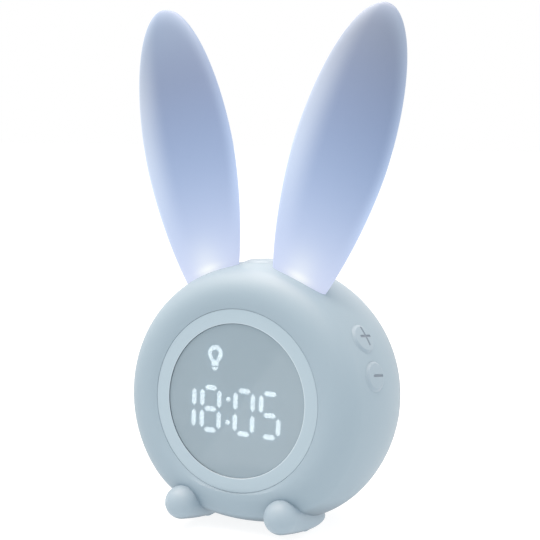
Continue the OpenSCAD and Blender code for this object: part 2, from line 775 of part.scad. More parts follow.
module cover_bosses() {
  round_the_axis(post_at, post_angles) rod_y(tunnel_r, seam_y, back_y);
  charge_screw_places() rod_y(charge_boss_r, charge_board_y, back_y);
  at_speaker() round_the_axis(speaker_screw_at, speaker_screw_angles)
    rod_y(speaker_boss_r, speaker_flange_back, back_y);
}

// A slot for the inlet, with round ends
module inlet_slot(grow, y0, y1) {
  r = inlet_h / 2 + grow;
  for (s = [-1, 1]) translate([s * (inlet_w / 2 - inlet_h / 2), 0, 0]) rod_y(r, y0, y1);
  box_y(inlet_w - inlet_h, 2 * r, y0, y1);
}

grille_rings = 3;
module grille_holes() {
  rod_y(grille_hole_d / 2, cover_inside_y - over, back_y + over);
  for (ring = [1:grille_rings])
    round_the_axis(ring * grille_step, [for (i = [0:6 * ring - 1]) 60 * i / ring])
      rod_y(grille_hole_d / 2, cover_inside_y - over, back_y + over);
}

module cover_holes() {
  round_the_axis(post_at, post_angles) {
    rod_y(case_screw_r + 2 * fit, seam_y - over, seam_y + tunnel_floor + over);
    rod_y(case_screw_head_r + 2 * fit, seam_y + tunnel_floor, back_y + 1);
  }
  at_inlet() inlet_slot(fit, cover_inside_y - over, back_y + over);
  charge_screw_places()
    rod_y(pilot_r, charge_board_y - over, charge_board_y + charge_screw_in);
  at_speaker() {
    grille_holes();
    round_the_axis(speaker_screw_at, speaker_screw_angles)
      rod_y(pilot_r, speaker_flange_back - over, speaker_flange_back + speaker_screw_in);
  }
}

// The inner outline of the seam: two straight rounds, for the cover's locating lip
module seam_form(inset) intersection() {
  rod_y(skin_r(seam_y) - inset, seam_y - lip_depth, seam_y + lip_depth);
  translate([0, 0, flat_up])
    rod_y(skin_r(seam_y) + flat_shift - inset, seam_y - lip_depth, seam_y + lip_depth);
}

module rear_cover() color(case_colour) casing_frame() union() {
  difference() {
    casing_form();
    difference() {
      casing_form(wall);
      cover_bosses();
    }
    ahead_of(seam_y);
    cover_holes();
  }
  difference() {
    seam_form(lip_inset);
    seam_form(lip_inset + lip_t);
  }
}

module case_screws() color(metal_colour) casing_frame() round_the_axis(post_at, post_angles) {
  rod_y(case_screw_r, seam_y - case_screw_in, seam_y + tunnel_floor + over);
  rod_y(case_screw_head_r, seam_y + tunnel_floor, seam_y + tunnel_floor + case_screw_head_h);
}

// ---------- boards, cell and speaker inside ----------

standoff_r = 2.6;
standoff_foot_r = 1.3;
standoff_x = 20;
standoff_rows = [21, -4];
module standoff_places() for (s = [-1, 1], z = standoff_rows) translate([s * standoff_x, 0, z])
  children();

main_board_front = display_board_back + standoff_l;
main_board_back = main_board_front + board_t;
main_board_w = 46;
main_board_top = 25;
main_board_bottom = -19;

module standoffs() color(metal_colour) casing_frame() standoff_places() difference() {
  union() {
    rod_y(standoff_r, display_board_back, main_board_front);
    rod_y(standoff_foot_r, ledge_back + 2 * hair, display_board_back + over);
  }
  rod_y(pilot_r, main_board_front - screw_in - 1, main_board_front + over);
}

module main_board() color(board_colour) casing_frame() difference() {
  translate([-main_board_w / 2, main_board_front, main_board_bottom])
    cube([main_board_w, board_t, main_board_top - main_board_bottom]);
  standoff_places() rod_y(small_screw_r + hair, main_board_front - over, main_board_back + over);
}

// Chips and connectors: [x, z, width, height, depth]
board_parts = [[0, 14, 9, 9, 1.4], [-12, 8, 6, 5, 1.5], [13, 12, 7, 5, 5], [-13, 18, 7, 5, 5],
  [12, 3, 3.2, 8, 3.4], [0, 3, 5, 4, 1.5]];
module main_board_parts() color(black_colour) casing_frame() for (p = board_parts)
  translate([p[0], 0, p[1]]) box_y(p[2], p[3], main_board_back, main_board_back + p[4]);

tray_t = 1.6;
tray_gap = 0.6;
contact_t = 0.4;
cell_y = main_board_back + tray_t + cell_r + hair;
cell_z = main_board_bottom + 1;
tray_half_h = cell_r + tray_gap + tray_t;
tray_half_l = cell_l / 2 + contact_t + hair + tray_t;
tray_lug_r = 3;

module main_board_screws() color(metal_colour) casing_frame() for (s = [-1, 1], row = [0, 1])
  translate([s * standoff_x, row * tray_t, standoff_rows[row]]) {
    rod_y(pilot_r, main_board_front - screw_in - row * tray_t, main_board_back + over);
    rod_y(small_head_r, main_board_back, main_board_back + small_head_h);
  }

module battery_tray() color(black_colour) casing_frame() difference() {
  union() {
    translate([0, 0, cell_z]) box_y(2 * tray_half_l, 2 * tray_half_h, main_board_back, cell_y);
    for (s = [-1, 1]) {
      translate([s * standoff_x, 0, standoff_rows[1]])
        rod_y(tray_lug_r, main_board_back, main_board_back + tray_t);
      translate([s * standoff_x - tray_lug_r, main_board_back, cell_z])
        cube([2 * tray_lug_r, tray_t, standoff_rows[1] - cell_z]);
    }
  }
  translate([0, 0, cell_z])
    box_y(2 * (tray_half_l - tray_t), 2 * (tray_half_h - tray_t), main_board_back + tray_t,
      cell_y + over);
  for (s = [-1, 1]) translate([s * standoff_x, 0, standoff_rows[1]])
    rod_y(small_screw_r + hair, main_board_back - over, main_board_back + tray_t + over);
}

module along_x(r, x0, x1) translate([x0, 0, 0]) rotate([0, 90, 0]) cylinder(r = r, h = x1 - x0);
module at_cell() translate([0, cell_y, cell_z]) children();

module battery_cell() color(cell_colour) casing_frame() at_cell()
  along_x(cell_r, -cell_l / 2, cell_l / 2);

module battery_contacts() color(metal_colour) casing_frame() at_cell() for (s = [-1, 1])
  translate([s * (cell_l / 2 + contact_t / 2), 0, 0])
    cube([contact_t, cell_r, cell_r], center = true);

strap_w = 8;
strap_t = 0.5;
module battery_strap() color(black_colour) casing_frame() at_cell() {
  inner = cell_r + hair;
  outer = inner + strap_t;
  intersection() {
    difference() {
      along_x(outer, -strap_w / 2, strap_w / 2);
      along_x(inner, -strap_w, strap_w);
    }
    translate([-strap_w, 0, -far / 2]) cube([2 * strap_w, far, far]);
  }
  for (s = [-1, 1]) translate([-strap_w / 2, -cell_r - hair, s > 0 ? inner : -outer])
    cube([strap_w, cell_r + hair, strap_t]);
}

speaker_depth = 12;
basket_back_r = 10.5;
magnet_t = 5;
cone_neck_r = 6;
cone_neck_l = 1.4;
basket_t = 0.8;
cone_t = 0.5;
flange_w = 2.2;
speaker_back = cover_inside_y - gasket_t - speaker_depth;
magnet_front = speaker_back + magnet_t;

// A cone's wall between two depths, t thick across the axis
module cone_wall(r0, r1, y0, y1, t)
  about_y() polygon([[r0 - t, y0], [r0, y0], [r1, y1], [r1 - t, y1]]);

module speaker_frame() color(metal_colour) casing_frame() at_speaker() {
  flange_front = speaker_flange_back + speaker_flange_t;
  about_y() polygon([[speaker_r - flange_w, speaker_flange_back], [speaker_r, speaker_flange_back],
    [speaker_r, flange_front], [speaker_r - flange_w, flange_front]]);
  cone_wall(basket_back_r, speaker_r - flange_w + basket_t, magnet_front, speaker_flange_back + hair,
    basket_t);
  rod_y(basket_back_r, magnet_front, magnet_front + basket_t);
}

module speaker_magnet() color(black_colour) casing_frame() at_speaker()
  rod_y(basket_back_r - 0.5, speaker_back, magnet_front);

module speaker_cone() color(black_colour) casing_frame() at_speaker() {
  neck_front = magnet_front + basket_t + cone_neck_l;
  cone_wall(cone_neck_r, speaker_r - flange_w, neck_front,
    speaker_flange_back + speaker_flange_t, cone_t);
  cone_wall(cone_neck_r, cone_neck_r, magnet_front + basket_t, neck_front + hair, cone_t);
}

module speaker_gasket() color(black_colour) casing_frame() at_speaker() {
  y0 = cover_inside_y - gasket_t;
  about_y() polygon([[speaker_r - flange_w, y0], [speaker_r, y0], [speaker_r, cover_inside_y],
    [speaker_r - flange_w, cover_inside_y]]);
}

wide_head_r = 3.2;
module speaker_screws() color(metal_colour) casing_frame() at_speaker()
  round_the_axis(speaker_screw_at, speaker_screw_angles) {
    rod_y(pilot_r, speaker_flange_back - over, speaker_flange_back + speaker_screw_in);
    rod_y(wide_head_r, speaker_flange_back - small_head_h, speaker_flange_back);
  }

charge_board_size = [20, 14];
module charging_board() color(board_colour) casing_frame() difference() {
  at_inlet() box_y(charge_board_size[0], charge_board_size[1], charge_board_y - board_t,
    charge_board_y);
  charge_screw_places()
    rod_y(small_screw_r + hair, charge_board_y - board_t - over, charge_board_y + over);
}

// The inlet is a tube of thin sheet, closed at the board
inlet_sheet_t = 0.4;
inlet_floor = 1.5;
module charging_inlet() color(metal_colour) casing_frame() at_inlet() difference() {
  inlet_slot(0, charge_board_y, cover_inside_y + wall / 2);
  inlet_slot(-inlet_sheet_t, charge_board_y + inlet_floor, back_y);
}

module charging_screws() color(metal_colour) casing_frame() charge_screw_places() {
  rod_y(pilot_r, charge_board_y - board_t - over, charge_board_y + charge_screw_in);
  rod_y(small_head_r, charge_board_y - board_t - small_head_h, charge_board_y - board_t);
}

// ---------- feet ----------

foot_x = foot_pitch / 2;
foot_steps = 8;
foot_sides = 24;
peg_back = 14;
peg_top = 2.4;

// Frame of the right foot: origin at the toe's middle, upright
module foot_place() translate([foot_x, head_y - toe_reach + foot_r, toe_up]) children();

// A round toe that tapers in a long curve to the back, along Z before it is laid down
module foot_form() rotate([-90 - foot_tilt, 0, 0]) ring_form(concat(
  [for (i = [1:foot_steps]) let (a = 90 * i / foot_steps)
    [-foot_r * cos(a), foot_r * sin(a), foot_r * sin(a)]],
  [for (i = [1:foot_steps]) let (a = 86 * i / foot_steps)
    [foot_l * sin(a), foot_r * cos(a), foot_r * cos(a)]]), foot_sides);

// Height of the shell's inner face over the peg, in the frame of the foot
peg_boss_up = 4.6;

// Frame of the peg in the casing's own frame: origin on top of the boss inside the shell
module peg_frame() rotate([lean, 0, 0]) translate([0, -head_y, -head_z]) foot_place()
  translate([0, peg_back, -toe_up + ground_gap + flat_rise + wall + peg_boss_up]) children();

// The peg starts inside the foot, below the casing's underside
peg_root = 1.5;
module foot(side) color(case_colour) mirrored(side) union() {
  difference() {
    foot_place() foot_form();
    casing_frame() casing_form();
    translate([0, 0, pad_t - far / 2]) cube(far, center = true);
  }
  casing_frame() peg_frame() translate([0, 0, -peg_boss_up - wall - peg_root])
    cylinder(r = peg_r, h = peg_boss_up + wall + peg_root + peg_top);
}
module left_foot() foot(-1);
module right_foot() foot(1);

module foot_push_nuts() color(metal_colour) casing_frame() both_sides() peg_frame() difference() {
  cylinder(r = nut_r, h = nut_t);
  translate([0, 0, -over]) cylinder(r = peg_r, h = nut_t + 2 * over);
}

// Rubber pads: a long one under each foot
pad_half_w = 2.4;
pad_half_l = 8;
pad_back = 24;
module foot_pads() color(rubber_colour) both_sides() foot_place() translate([0, pad_back, -toe_up])
  rotate(90) slot_form(pad_half_l, 2 * pad_half_w, 0, pad_t);

// The rear foot is a bar of rubber between the ground and the rear cover's underside
rear_foot_y = 14.5;
rear_foot_w = 26;
rear_foot_l = 6;
module rear_foot() color(rubber_colour) difference() {
  translate([0, head_y + rear_foot_y, 0])
    slot_form(rear_foot_w / 2, rear_foot_l, 0, head_z - body_r / 2);
  casing_frame() casing_form();
}

main_shell();
rear_cover();
bezel_ring();
display_lens();
display_mask();
lit_segments();
unlit_segments();
display_board();
display_leds();
display_screws();
left_ear();
right_ear();
left_ear_board();
right_ear_board();
ear_leds();
ear_screws();
night_light_button();
plus_button();
minus_button();
mode_button();
alarm_button();
night_light_key_board();
right_key_board();
left_key_board();
key_switches();
key_board_screws();
left_foot();
right_foot();
foot_push_nuts();
foot_pads();
rear_foot();
main_board();
main_board_parts();
standoffs();
main_board_screws();
battery_tray();
battery_cell();
battery_contacts();
battery_strap();
speaker_frame();
speaker_magnet();
speaker_cone();
speaker_gasket();
speaker_screws();
charging_board();
charging_inlet();
charging_screws();
case_screws();
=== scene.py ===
# %% [markdown]
# # A bedside clock with glowing ears
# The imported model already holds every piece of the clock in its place. This lesson dresses it:
# it builds smooth skins over the round casing, the ears, the feet and the buttons, and gives
# each piece a finish. Nothing is moved, because the pieces have to keep fitting each other.

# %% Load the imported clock
import json
import math

import bmesh
import bpy
import numpy as np
from mathutils import Matrix, Vector


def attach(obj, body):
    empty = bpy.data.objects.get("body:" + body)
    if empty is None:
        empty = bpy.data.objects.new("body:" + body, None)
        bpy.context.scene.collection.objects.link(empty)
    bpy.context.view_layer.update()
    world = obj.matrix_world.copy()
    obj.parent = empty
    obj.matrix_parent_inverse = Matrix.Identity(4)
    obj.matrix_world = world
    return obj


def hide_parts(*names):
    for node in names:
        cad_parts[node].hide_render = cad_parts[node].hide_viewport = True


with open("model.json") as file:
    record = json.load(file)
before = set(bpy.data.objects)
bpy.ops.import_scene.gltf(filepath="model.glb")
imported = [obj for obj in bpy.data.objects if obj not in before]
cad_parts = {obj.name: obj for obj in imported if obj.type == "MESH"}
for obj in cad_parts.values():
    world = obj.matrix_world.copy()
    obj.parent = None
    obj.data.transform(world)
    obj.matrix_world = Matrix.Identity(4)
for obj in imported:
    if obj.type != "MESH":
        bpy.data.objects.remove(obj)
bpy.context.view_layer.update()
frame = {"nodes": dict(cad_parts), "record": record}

# %% [markdown]
# The casing is a round, turned about a level axis that leans back a little with the face. It
# is easiest to work in the casing's own frame, in millimetres, and to turn the points into
# metres on the ground only when a mesh is made. X runs to the right, Y from the face to the back
# and Z up. These are the sizes of the real pieces.

# %% Sizes of the casing
MM = 0.001
BODY_R = 54.0
WALL = 2.3
LEAN = math.radians(4)
FLAT_RISE = 3.7
FLAT_R = 80.0
GROUND_GAP = 0.75
WIDEST_Y = -6.0
SEAM_Y = 14.0
FRONT_ARC_R, FRONT_SWEEP, FRONT_CORNER_R = 54.0, 18.5, 11.5
REAR_ARC_R, REAR_SWEEP = 60.0, 18.0
SHOULDER_R, SHOULDER_SWEEP = 44.0, 32.0
BACK_CORNER_R = 14.0
LIP_PROUD = 0.95
TOE_OUT = 9.5


def along(angle):
    """Unit vector in the section, at an angle in degrees from straight out."""
    return np.array([math.cos(math.radians(angle)), math.sin(math.radians(angle))])


front_mid = np.array([BODY_R - FRONT_ARC_R, WIDEST_Y])
front_corner = front_mid + (FRONT_ARC_R - FRONT_CORNER_R) * along(-FRONT_SWEEP)
rear_mid = np.array([BODY_R - REAR_ARC_R, WIDEST_Y])
shoulder_mid = rear_mid + (REAR_ARC_R - SHOULDER_R) * along(REAR_SWEEP)
back_corner = shoulder_mid + (SHOULDER_R - BACK_CORNER_R) * along(SHOULDER_SWEEP)
front_y = front_corner[1] - FRONT_CORNER_R
face_y = front_y + LIP_PROUD
back_y = back_corner[1] + BACK_CORNER_R
flat_shift = FLAT_R - BODY_R
flat_up = flat_shift + FLAT_RISE
toe_reach = TOE_OUT - front_y
back_reach = (back_corner[1] * math.cos(LEAN) + back_corner[0] * math.sin(LEAN)
              + BACK_CORNER_R)
head_y = (toe_reach - back_reach) / 2
head_z = (BODY_R - FLAT_RISE) * math.cos(LEAN) + WIDEST_Y * math.sin(LEAN) + GROUND_GAP
print("casing middle at", round(head_y, 3), round(head_z, 3), "mm; face at", round(face_y, 3))

# %% [markdown]
# Two small helpers carry points between the casing's frame and the ground's frame. The others
# turn a list of points and faces into a Blender object that shades smoothly but keeps its sharp
# edges, store a value on each point for the finish to read, and cut shapes out of a piece. Blender
# has all of this in its menus, but a function does the same work for every piece alike.


# %% From points to pieces
def on_ground(points):
    """Points of the casing's frame in mm, as points of the ground's frame in metres."""
    x, y, z = np.asarray(points, float).T
    c, s = math.cos(LEAN), math.sin(LEAN)
    return np.stack([x, y * c + z * s + head_y, -y * s + z * c + head_z], -1) * MM


def casing_points(piece):
    """The piece's points in the casing's frame, in mm."""
    p = np.array([v.co for v in piece.data.vertices]) / MM
    x, y, z = p[:, 0], p[:, 1] - head_y, p[:, 2] - head_z
    c, s = math.cos(LEAN), math.sin(LEAN)
    return np.stack([x, y * c - z * s, y * s + z * c], -1)


def full_turn(sides):
    """Angles in radians, evenly spaced over one turn."""
    return np.arange(sides) * 2 * math.pi / sides


def shade(piece, keep_sharp):
    """Smooth shading, with edges of more than keep_sharp degrees left sharp."""
    piece.data.shade_smooth()
    piece.data.set_sharp_from_angle(angle=math.radians(keep_sharp))


def write_values(piece, name, values):
    """Stores one number per point, which a finish reads by its name."""
    layer = piece.data.attributes.new(name, "FLOAT", "POINT")
    layer.data.foreach_set("value", np.asarray(values, np.float32))


MERGE_DIST = 1e-7


def make_piece(name, points, faces, keep_sharp=35, **values):
    """A mesh object with its doubled points merged; values are stored on the points by name."""
    mesh = bpy.data.meshes.new(name)
    mesh.from_pydata([tuple(p) for p in points], [], [tuple(f) for f in faces])
    piece = bpy.data.objects.new(name, mesh)
    bpy.context.scene.collection.objects.link(piece)
    for key, numbers in values.items():
        write_values(piece, key, numbers)
    work = bmesh.new()
    work.from_mesh(mesh)
    bmesh.ops.remove_doubles(work, verts=work.verts, dist=MERGE_DIST)
    bmesh.ops.dissolve_degenerate(work, edges=work.edges, dist=MERGE_DIST)
    bmesh.ops.recalc_face_normals(work, faces=work.faces)
    work.to_mesh(mesh)
    work.free()
    shade(piece, keep_sharp)
    return piece


def cut(piece, *cutters, keep_sharp=35):
    """Takes the cutters out of the piece, and removes them."""
    for cutter in cutters:
        step = piece.modifiers.new("cut", "BOOLEAN")
        step.operation, step.solver, step.object = "DIFFERENCE", "EXACT", cutter
    bpy.context.view_layer.update()
    graph = bpy.context.evaluated_depsgraph_get()
    made = bpy.data.meshes.new_from_object(piece.evaluated_get(graph))
    piece.modifiers.clear()
    piece.data = made
    shade(piece, keep_sharp)
    for cutter in cutters:
        bpy.data.objects.remove(cutter)


def grid_faces(rows, columns, closed_rows=False):
    """Four-sided faces between rows of points; each row runs right round."""
    faces = []
    for i in range(rows if closed_rows else rows - 1):
        a, b = i * columns, ((i + 1) % rows) * columns
        faces += [(a + k, a + (k + 1) % columns, b + (k + 1) % columns, b + k)
                  for k in range(columns)]
    return faces


print("mesh helpers ready")

# %% [markdown]
# The section of the casing is a chain of arcs that run into each other: a rounded corner round
# the face, a long side, a shoulder and a back corner. A second, wider round flattens the
# underside. Where the two rounds meet, the smaller distance wins, with a soft blend, so that
# the moulded edge there is rounded as on a real casing. A ready-made sphere or cylinder could be
# pushed into shape instead, but the arcs give the true curve at every depth.

# %% The section and the flattened underside
AROUND = 288
ROUND_ANGLES = full_turn(AROUND)
BLEND_W = 1.2
CORNER_STEPS, SIDE_STEPS, SHOULDER_STEPS, BACK_STEPS = 40, 16, 8, 20


def arc(mid, radius, start, stop, steps):
    """Points of an arc in the section, between two angles in degrees."""
    return [mid + radius * along(start + (stop - start) * i / steps) for i in range(steps + 1)]


def side_points(inset, start=-90):
    """The section's side as [distance from the axis, depth], from the front corner on."""
    return np.array(
        arc(front_corner, FRONT_CORNER_R - inset, start, -FRONT_SWEEP, CORNER_STEPS)
        + arc(front_mid, FRONT_ARC_R - inset, -FRONT_SWEEP, 0, SIDE_STEPS)[1:]
        + arc(rear_mid, REAR_ARC_R - inset, 0, REAR_SWEEP, SIDE_STEPS)[1:]
        + arc(shoulder_mid, SHOULDER_R - inset, REAR_SWEEP, SHOULDER_SWEEP, SHOULDER_STEPS)[1:]
        + arc(back_corner, BACK_CORNER_R - inset, SHOULDER_SWEEP, 90, BACK_STEPS)[1:])


outer_side, inner_side = side_points(0), side_points(WALL)


def skin_r(y):
    """Distance of the skin from the axis at depth y."""
    return np.interp(y, outer_side[:, 1], outer_side[:, 0])


def flattened(r):
    """Distance from the axis at each angle, for a section point at distance r."""
    low = flat_up * np.sin(ROUND_ANGLES) + np.sqrt(
        np.maximum((r + flat_shift) ** 2 - (flat_up * np.cos(ROUND_ANGLES)) ** 2, 0))
    return r - BLEND_W * np.log1p(np.exp((r - low) / BLEND_W))


def turned(rows):
    """Points of rows of (distance at each angle, depth), in the casing's frame."""
    points = []
    for reach, y in rows:
        reach = np.broadcast_to(reach, ROUND_ANGLES.shape)
        points.append(np.stack([reach * np.cos(ROUND_ANGLES), np.full(AROUND, y),
                                reach * np.sin(ROUND_ANGLES)], -1))
    return np.concatenate(points)


print("skin at the widest section:", skin_r(WIDEST_Y))

# %% [markdown]
# ## The casing
# The main shell and the rear cover are two mouldings that meet in a fine seam. Each is a closed
# loop of section points, turned about the axis, so that it has its real wall. Thickening a thin
# skin would be quicker, but the ledge behind the bezel and the lip at the seam need their own
# rows. Every edge that shows has a few more rows that round it off.

# %% Rows of the main shell
BEZEL_R, BEZEL_T, BEZEL_BAND, BEZEL_GAP = 35.75, 1.6, 5.65, 0.07
LENS_FLANGE, LEDGE_T, LEDGE_CLEAR, FACE_RING_BAND = 1.5, 3.0, 0.8, 3
RIM, RIM_ANGLES = 0.18, (0, 22, 45, 67)
SEAM_GAP = 0.08
INNER_CLEAR = 0.2
window_r = BEZEL_R - BEZEL_BAND
bezel_back = face_y + BEZEL_T
ledge_r = window_r + LENS_FLANGE + LEDGE_CLEAR
ledge_back = bezel_back + LEDGE_T
face_ring_r = BEZEL_R + FACE_RING_BAND
bore_r = BEZEL_R + BEZEL_GAP


def smooth_step(x):
    """0 below 0, 1 above 1, and a soft rise between."""
    x = np.clip(x, 0, 1)
    return x * x * (3 - 2 * x)


def skin_rows(inset, start, y_stop, lip=False):
    """Rows of the skin, flattened below; towards the bezel the lip goes back to the round."""
    rows = []
    for r, y in side_points(inset, start):
        if y > y_stop:
            break
        reach = flattened(r)
        if lip and r < front_corner[0] and y < front_corner[1]:
            weight = smooth_step((r - bore_r) / (front_corner[0] - bore_r))
            reach = r + (reach - r) * weight
        rows.append((reach, y))
    return rows


lip_start = -90 - math.degrees(math.asin((front_corner[0] - bore_r - RIM) / FRONT_CORNER_R))
lip_y = side_points(0, lip_start)[0][1]
edge_r = skin_r(SEAM_Y)
shell_rows = [(bore_r + RIM * (1 - math.cos(a)), lip_y + RIM * (1 - math.sin(a)))
              for a in np.radians(RIM_ANGLES)]
shell_rows += skin_rows(0, lip_start, SEAM_Y - SEAM_GAP - RIM, lip=True)
shell_rows += [(flattened(edge_r - RIM * 0.3), SEAM_Y - SEAM_GAP - RIM * 0.3),
               (flattened(edge_r - RIM), SEAM_Y - SEAM_GAP)]
inner = [(np.maximum(reach, face_ring_r + INNER_CLEAR), y)
         for reach, y in skin_rows(WALL, -90, SEAM_Y - SEAM_GAP)]
shell_rows += [(inner[-1][0], SEAM_Y - SEAM_GAP)] + inner[::-1]
shell_rows += [(face_ring_r, front_y + WALL), (face_ring_r, ledge_back), (ledge_r, ledge_back),
               (ledge_r, bezel_back), (bore_r, bezel_back)]
print("main shell rows:", len(shell_rows))

# %% [markdown]
# Two buttons sit on each side, and a larger one on the crown. Each has a frame of its own:
# an origin on the casing's axis, a way back, a way up the side and a way out. A plain rod along
# the way out cuts the bore through the wall, which leaves the bore's rim crisp.

# %% Build the main shell and its holes
KEY_R, KEY_PITCH, KEY_ANGLE, KEY_AHEAD, KEY_GAP = 5.9, 15.1, math.radians(22), 8.2, 0.03
TOP_KEY_R = 9.9
TOP_BORE_FROM, SIDE_BORE_FROM, BORE_TO = 30, 38, 70
UP, BACK, RIGHT = np.array([0, 0, 1.0]), np.array([0, 1.0, 0]), np.array([1.0, 0, 0])
side_key_y = WIDEST_Y - KEY_AHEAD
crown = np.array([0, WIDEST_Y, 0])


def key_axes(side):
    """Origin, back, up and out of a pair of side buttons, in the casing's frame."""
    c, s = math.cos(KEY_ANGLE), math.sin(KEY_ANGLE)
    return (np.array([0, side_key_y, 0]), BACK, np.array([-side * s, 0, c]),
            np.array([side * c, 0, s]))


def rod(name, origin, u, v, w, radius, start, stop, sides=96):
    """A closed rod along w, with the round in u and v."""
    turn = full_turn(sides)
    ring = radius * (np.outer(np.cos(turn), u) + np.outer(np.sin(turn), v)) + origin
    points = np.concatenate([ring + start * w, ring + stop * w])
    faces = grid_faces(2, sides) + [range(sides), range(sides, 2 * sides)]
    return make_piece(name, on_ground(points), faces)


main_shell = make_piece("shell_skin", on_ground(turned(shell_rows)),
                        grid_faces(len(shell_rows), AROUND, closed_rows=True))
bores = [rod("bore", crown, RIGHT, BACK, UP, TOP_KEY_R + KEY_GAP, TOP_BORE_FROM, BORE_TO)]
for side in (-1, 1):
    origin, u, v, w = key_axes(side)
    for place in (-1, 1):
        bores.append(rod("bore", origin + place * KEY_PITCH / 2 * v, u, v, w,
                         KEY_R + KEY_GAP, SIDE_BORE_FROM, BORE_TO))
cut(main_shell, *bores)
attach(main_shell, "clock")
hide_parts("main_shell")
print("main shell faces:", len(main_shell.data.polygons))

# %% [markdown]
# The rear cover closes the casing from the seam to the back. It is turned like the shell, and
# its openings go right through: a grille of small holes in rings for the speaker, a slot with
# round ends for charging, and four deep holes for the screws. An image of holes would be
# lighter, but real holes show their walls from the side.

# %% Build the rear cover
POST_AT, POST_ANGLES = 38.0, (44, 136, 242, 298)
GRILLE_HOLE_R, GRILLE_STEP, GRILLE_RINGS, SPEAKER_UP = 1.1, 4.2, 3, 10.0
INLET_DOWN, INLET_W, INLET_H = 25.0, 9.3, 3.5
TUNNEL_BORE_R, TUNNEL_WALL, TUNNEL_FLOOR, TUNNEL_SIDES = 3.1, 1.9, 3.0, 48
GRILLE_SIDES, SLOT_STEPS = 24, 16
CUT_IN, CUT_OUT = 4, 3
CLOSING_SHARES = np.linspace(0.96, 0, 12)
cut_from, cut_to = back_y - CUT_IN, back_y + CUT_OUT


def cover_rows(inset):
    """Rows of the cover's skin from the seam on, closed to the middle of the back."""
    y_start = SEAM_Y + SEAM_GAP + (0 if inset else RIM)
    rows = [(reach, y) for reach, y in skin_rows(inset, -90, cut_to) if y > y_start]
    last, y = rows[-1]
    return rows + [(last * share, y) for share in CLOSING_SHARES]


def back_hole(x, z, radius, start, sides):
    """A rod that cuts a round hole, from the depth start out through the back."""
    return rod("hole", np.array([x, 0, z]), RIGHT, UP, BACK, radius, start, cut_to, sides)


def slot_cutter(width, height, z):
    """A closed solid with a round-ended outline, to cut the opening of the charging inlet."""
    r, reach = height / 2, (width - height) / 2
    turn = [along(a) * r + (reach, 0) for a in np.linspace(-90, 90, SLOT_STEPS)]
    turn += [along(a) * r - (reach, 0) for a in np.linspace(90, 270, SLOT_STEPS)]
    points = [(x, y, up + z) for y in (cut_from, cut_to) for x, up in turn]
    faces = grid_faces(2, len(turn)) + [range(len(turn)), range(len(turn), 2 * len(turn))]
    return make_piece("slot", on_ground(points), faces)


outer_rows, inner_rows = cover_rows(0), cover_rows(WALL)
rear_rows = [(flattened(edge_r - RIM), SEAM_Y + SEAM_GAP),
             (flattened(edge_r - RIM * 0.4), SEAM_Y + SEAM_GAP + RIM * 0.4)]
rear_rows += outer_rows + inner_rows[::-1] + [(inner_rows[0][0], SEAM_Y + SEAM_GAP)]
rear_cover = make_piece("rear_cover_skin", on_ground(turned(rear_rows)),
                        grid_faces(len(rear_rows), AROUND, closed_rows=True))
holes = []
for a in POST_ANGLES:
    x, z = POST_AT * along(a)
    holes.append(back_hole(x, z, TUNNEL_BORE_R, SEAM_Y + TUNNEL_FLOOR, TUNNEL_SIDES))
holes.append(slot_cutter(INLET_W, INLET_H, -INLET_DOWN))
holes.append(back_hole(0, SPEAKER_UP, GRILLE_HOLE_R, cut_from, GRILLE_SIDES))
for ring in range(1, GRILLE_RINGS + 1):
    for i in range(6 * ring):
        x, z = ring * GRILLE_STEP * along(60 * i / ring)
        holes.append(back_hole(x, z + SPEAKER_UP, GRILLE_HOLE_R, cut_from, GRILLE_SIDES))
cut(rear_cover, *holes)
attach(rear_cover, "clock")
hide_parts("rear_cover")
print("rear cover faces:", len(rear_cover.data.polygons), "holes:", len(holes))

# %% [markdown]
# Behind each deep hole a tube leads down to the screw's head, so that nobody sees past the
# screw into the casing. The cover is curved there, so each point of the tube's outer end is
# taken to the inside of the cover, and a little into it.

# %% Build the screw tunnels
tunnel_turn = full_turn(TUNNEL_SIDES)
cover_inside = inner_side[inner_side[:, 1] > SEAM_Y]


def cover_end(reach):
    """Depth of the cover's inner skin at a distance from the axis."""
    return float(np.interp(-reach, -cover_inside[:, 0], cover_inside[:, 1]))


tunnels = []
for a in POST_ANGLES:
    x, z = POST_AT * along(a)
    points = []
    for r, at_cover in ((TUNNEL_BORE_R, False), (TUNNEL_BORE_R, True),
                        (TUNNEL_BORE_R + TUNNEL_WALL, True), (TUNNEL_BORE_R + TUNNEL_WALL, False)):
        for px, pz in zip(x + r * np.cos(tunnel_turn), z + r * np.sin(tunnel_turn)):
            end = cover_end(math.hypot(px, pz)) + WALL / 4 if at_cover else SEAM_Y + TUNNEL_FLOOR
            points.append((px, end, pz))
    tunnel = make_piece(f"screw_tunnel_{a}", on_ground(points),
                        grid_faces(4, TUNNEL_SIDES, closed_rows=True))
    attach(tunnel, "clock")
    tunnels.append(tunnel)
print("screw tunnels:", len(tunnels))

# %% [markdown]
# ## The face
# The bezel is a flat ring with softly broken edges, and the lens is a smoked disc a little
# behind it. Both are turned from a closed outline. The bezel's inner edge is a narrow land
# round a shallow recess, far too fine for light to model, so the points there carry two values
# that the finish turns into a painted highlight on the land and a painted shade
# on the recess wall.


# %% Bezel
def broken(corner, before, after, size, steps=4):
    """A corner of an outline, rounded off over a small size, or chamfered in one step."""
    corner, before, after = (np.array(p, float) for p in (corner, before, after))
    a = corner + size * (before - corner) / np.linalg.norm(before - corner)
    b = corner + size * (after - corner) / np.linalg.norm(after - corner)
    return [(1 - t) ** 2 * a + 2 * t * (1 - t) * corner + t * t * b
            for t in np.linspace(0, 1, steps + 1)]


def turned_ring(name, outline):
    """A ring, or a disc whose outline starts and ends on the axis."""
    rows = [(np.full(AROUND, r), y) for r, y in outline]
    return make_piece(name, on_ground(turned(rows)),
                      grid_faces(len(rows), AROUND, closed_rows=True))


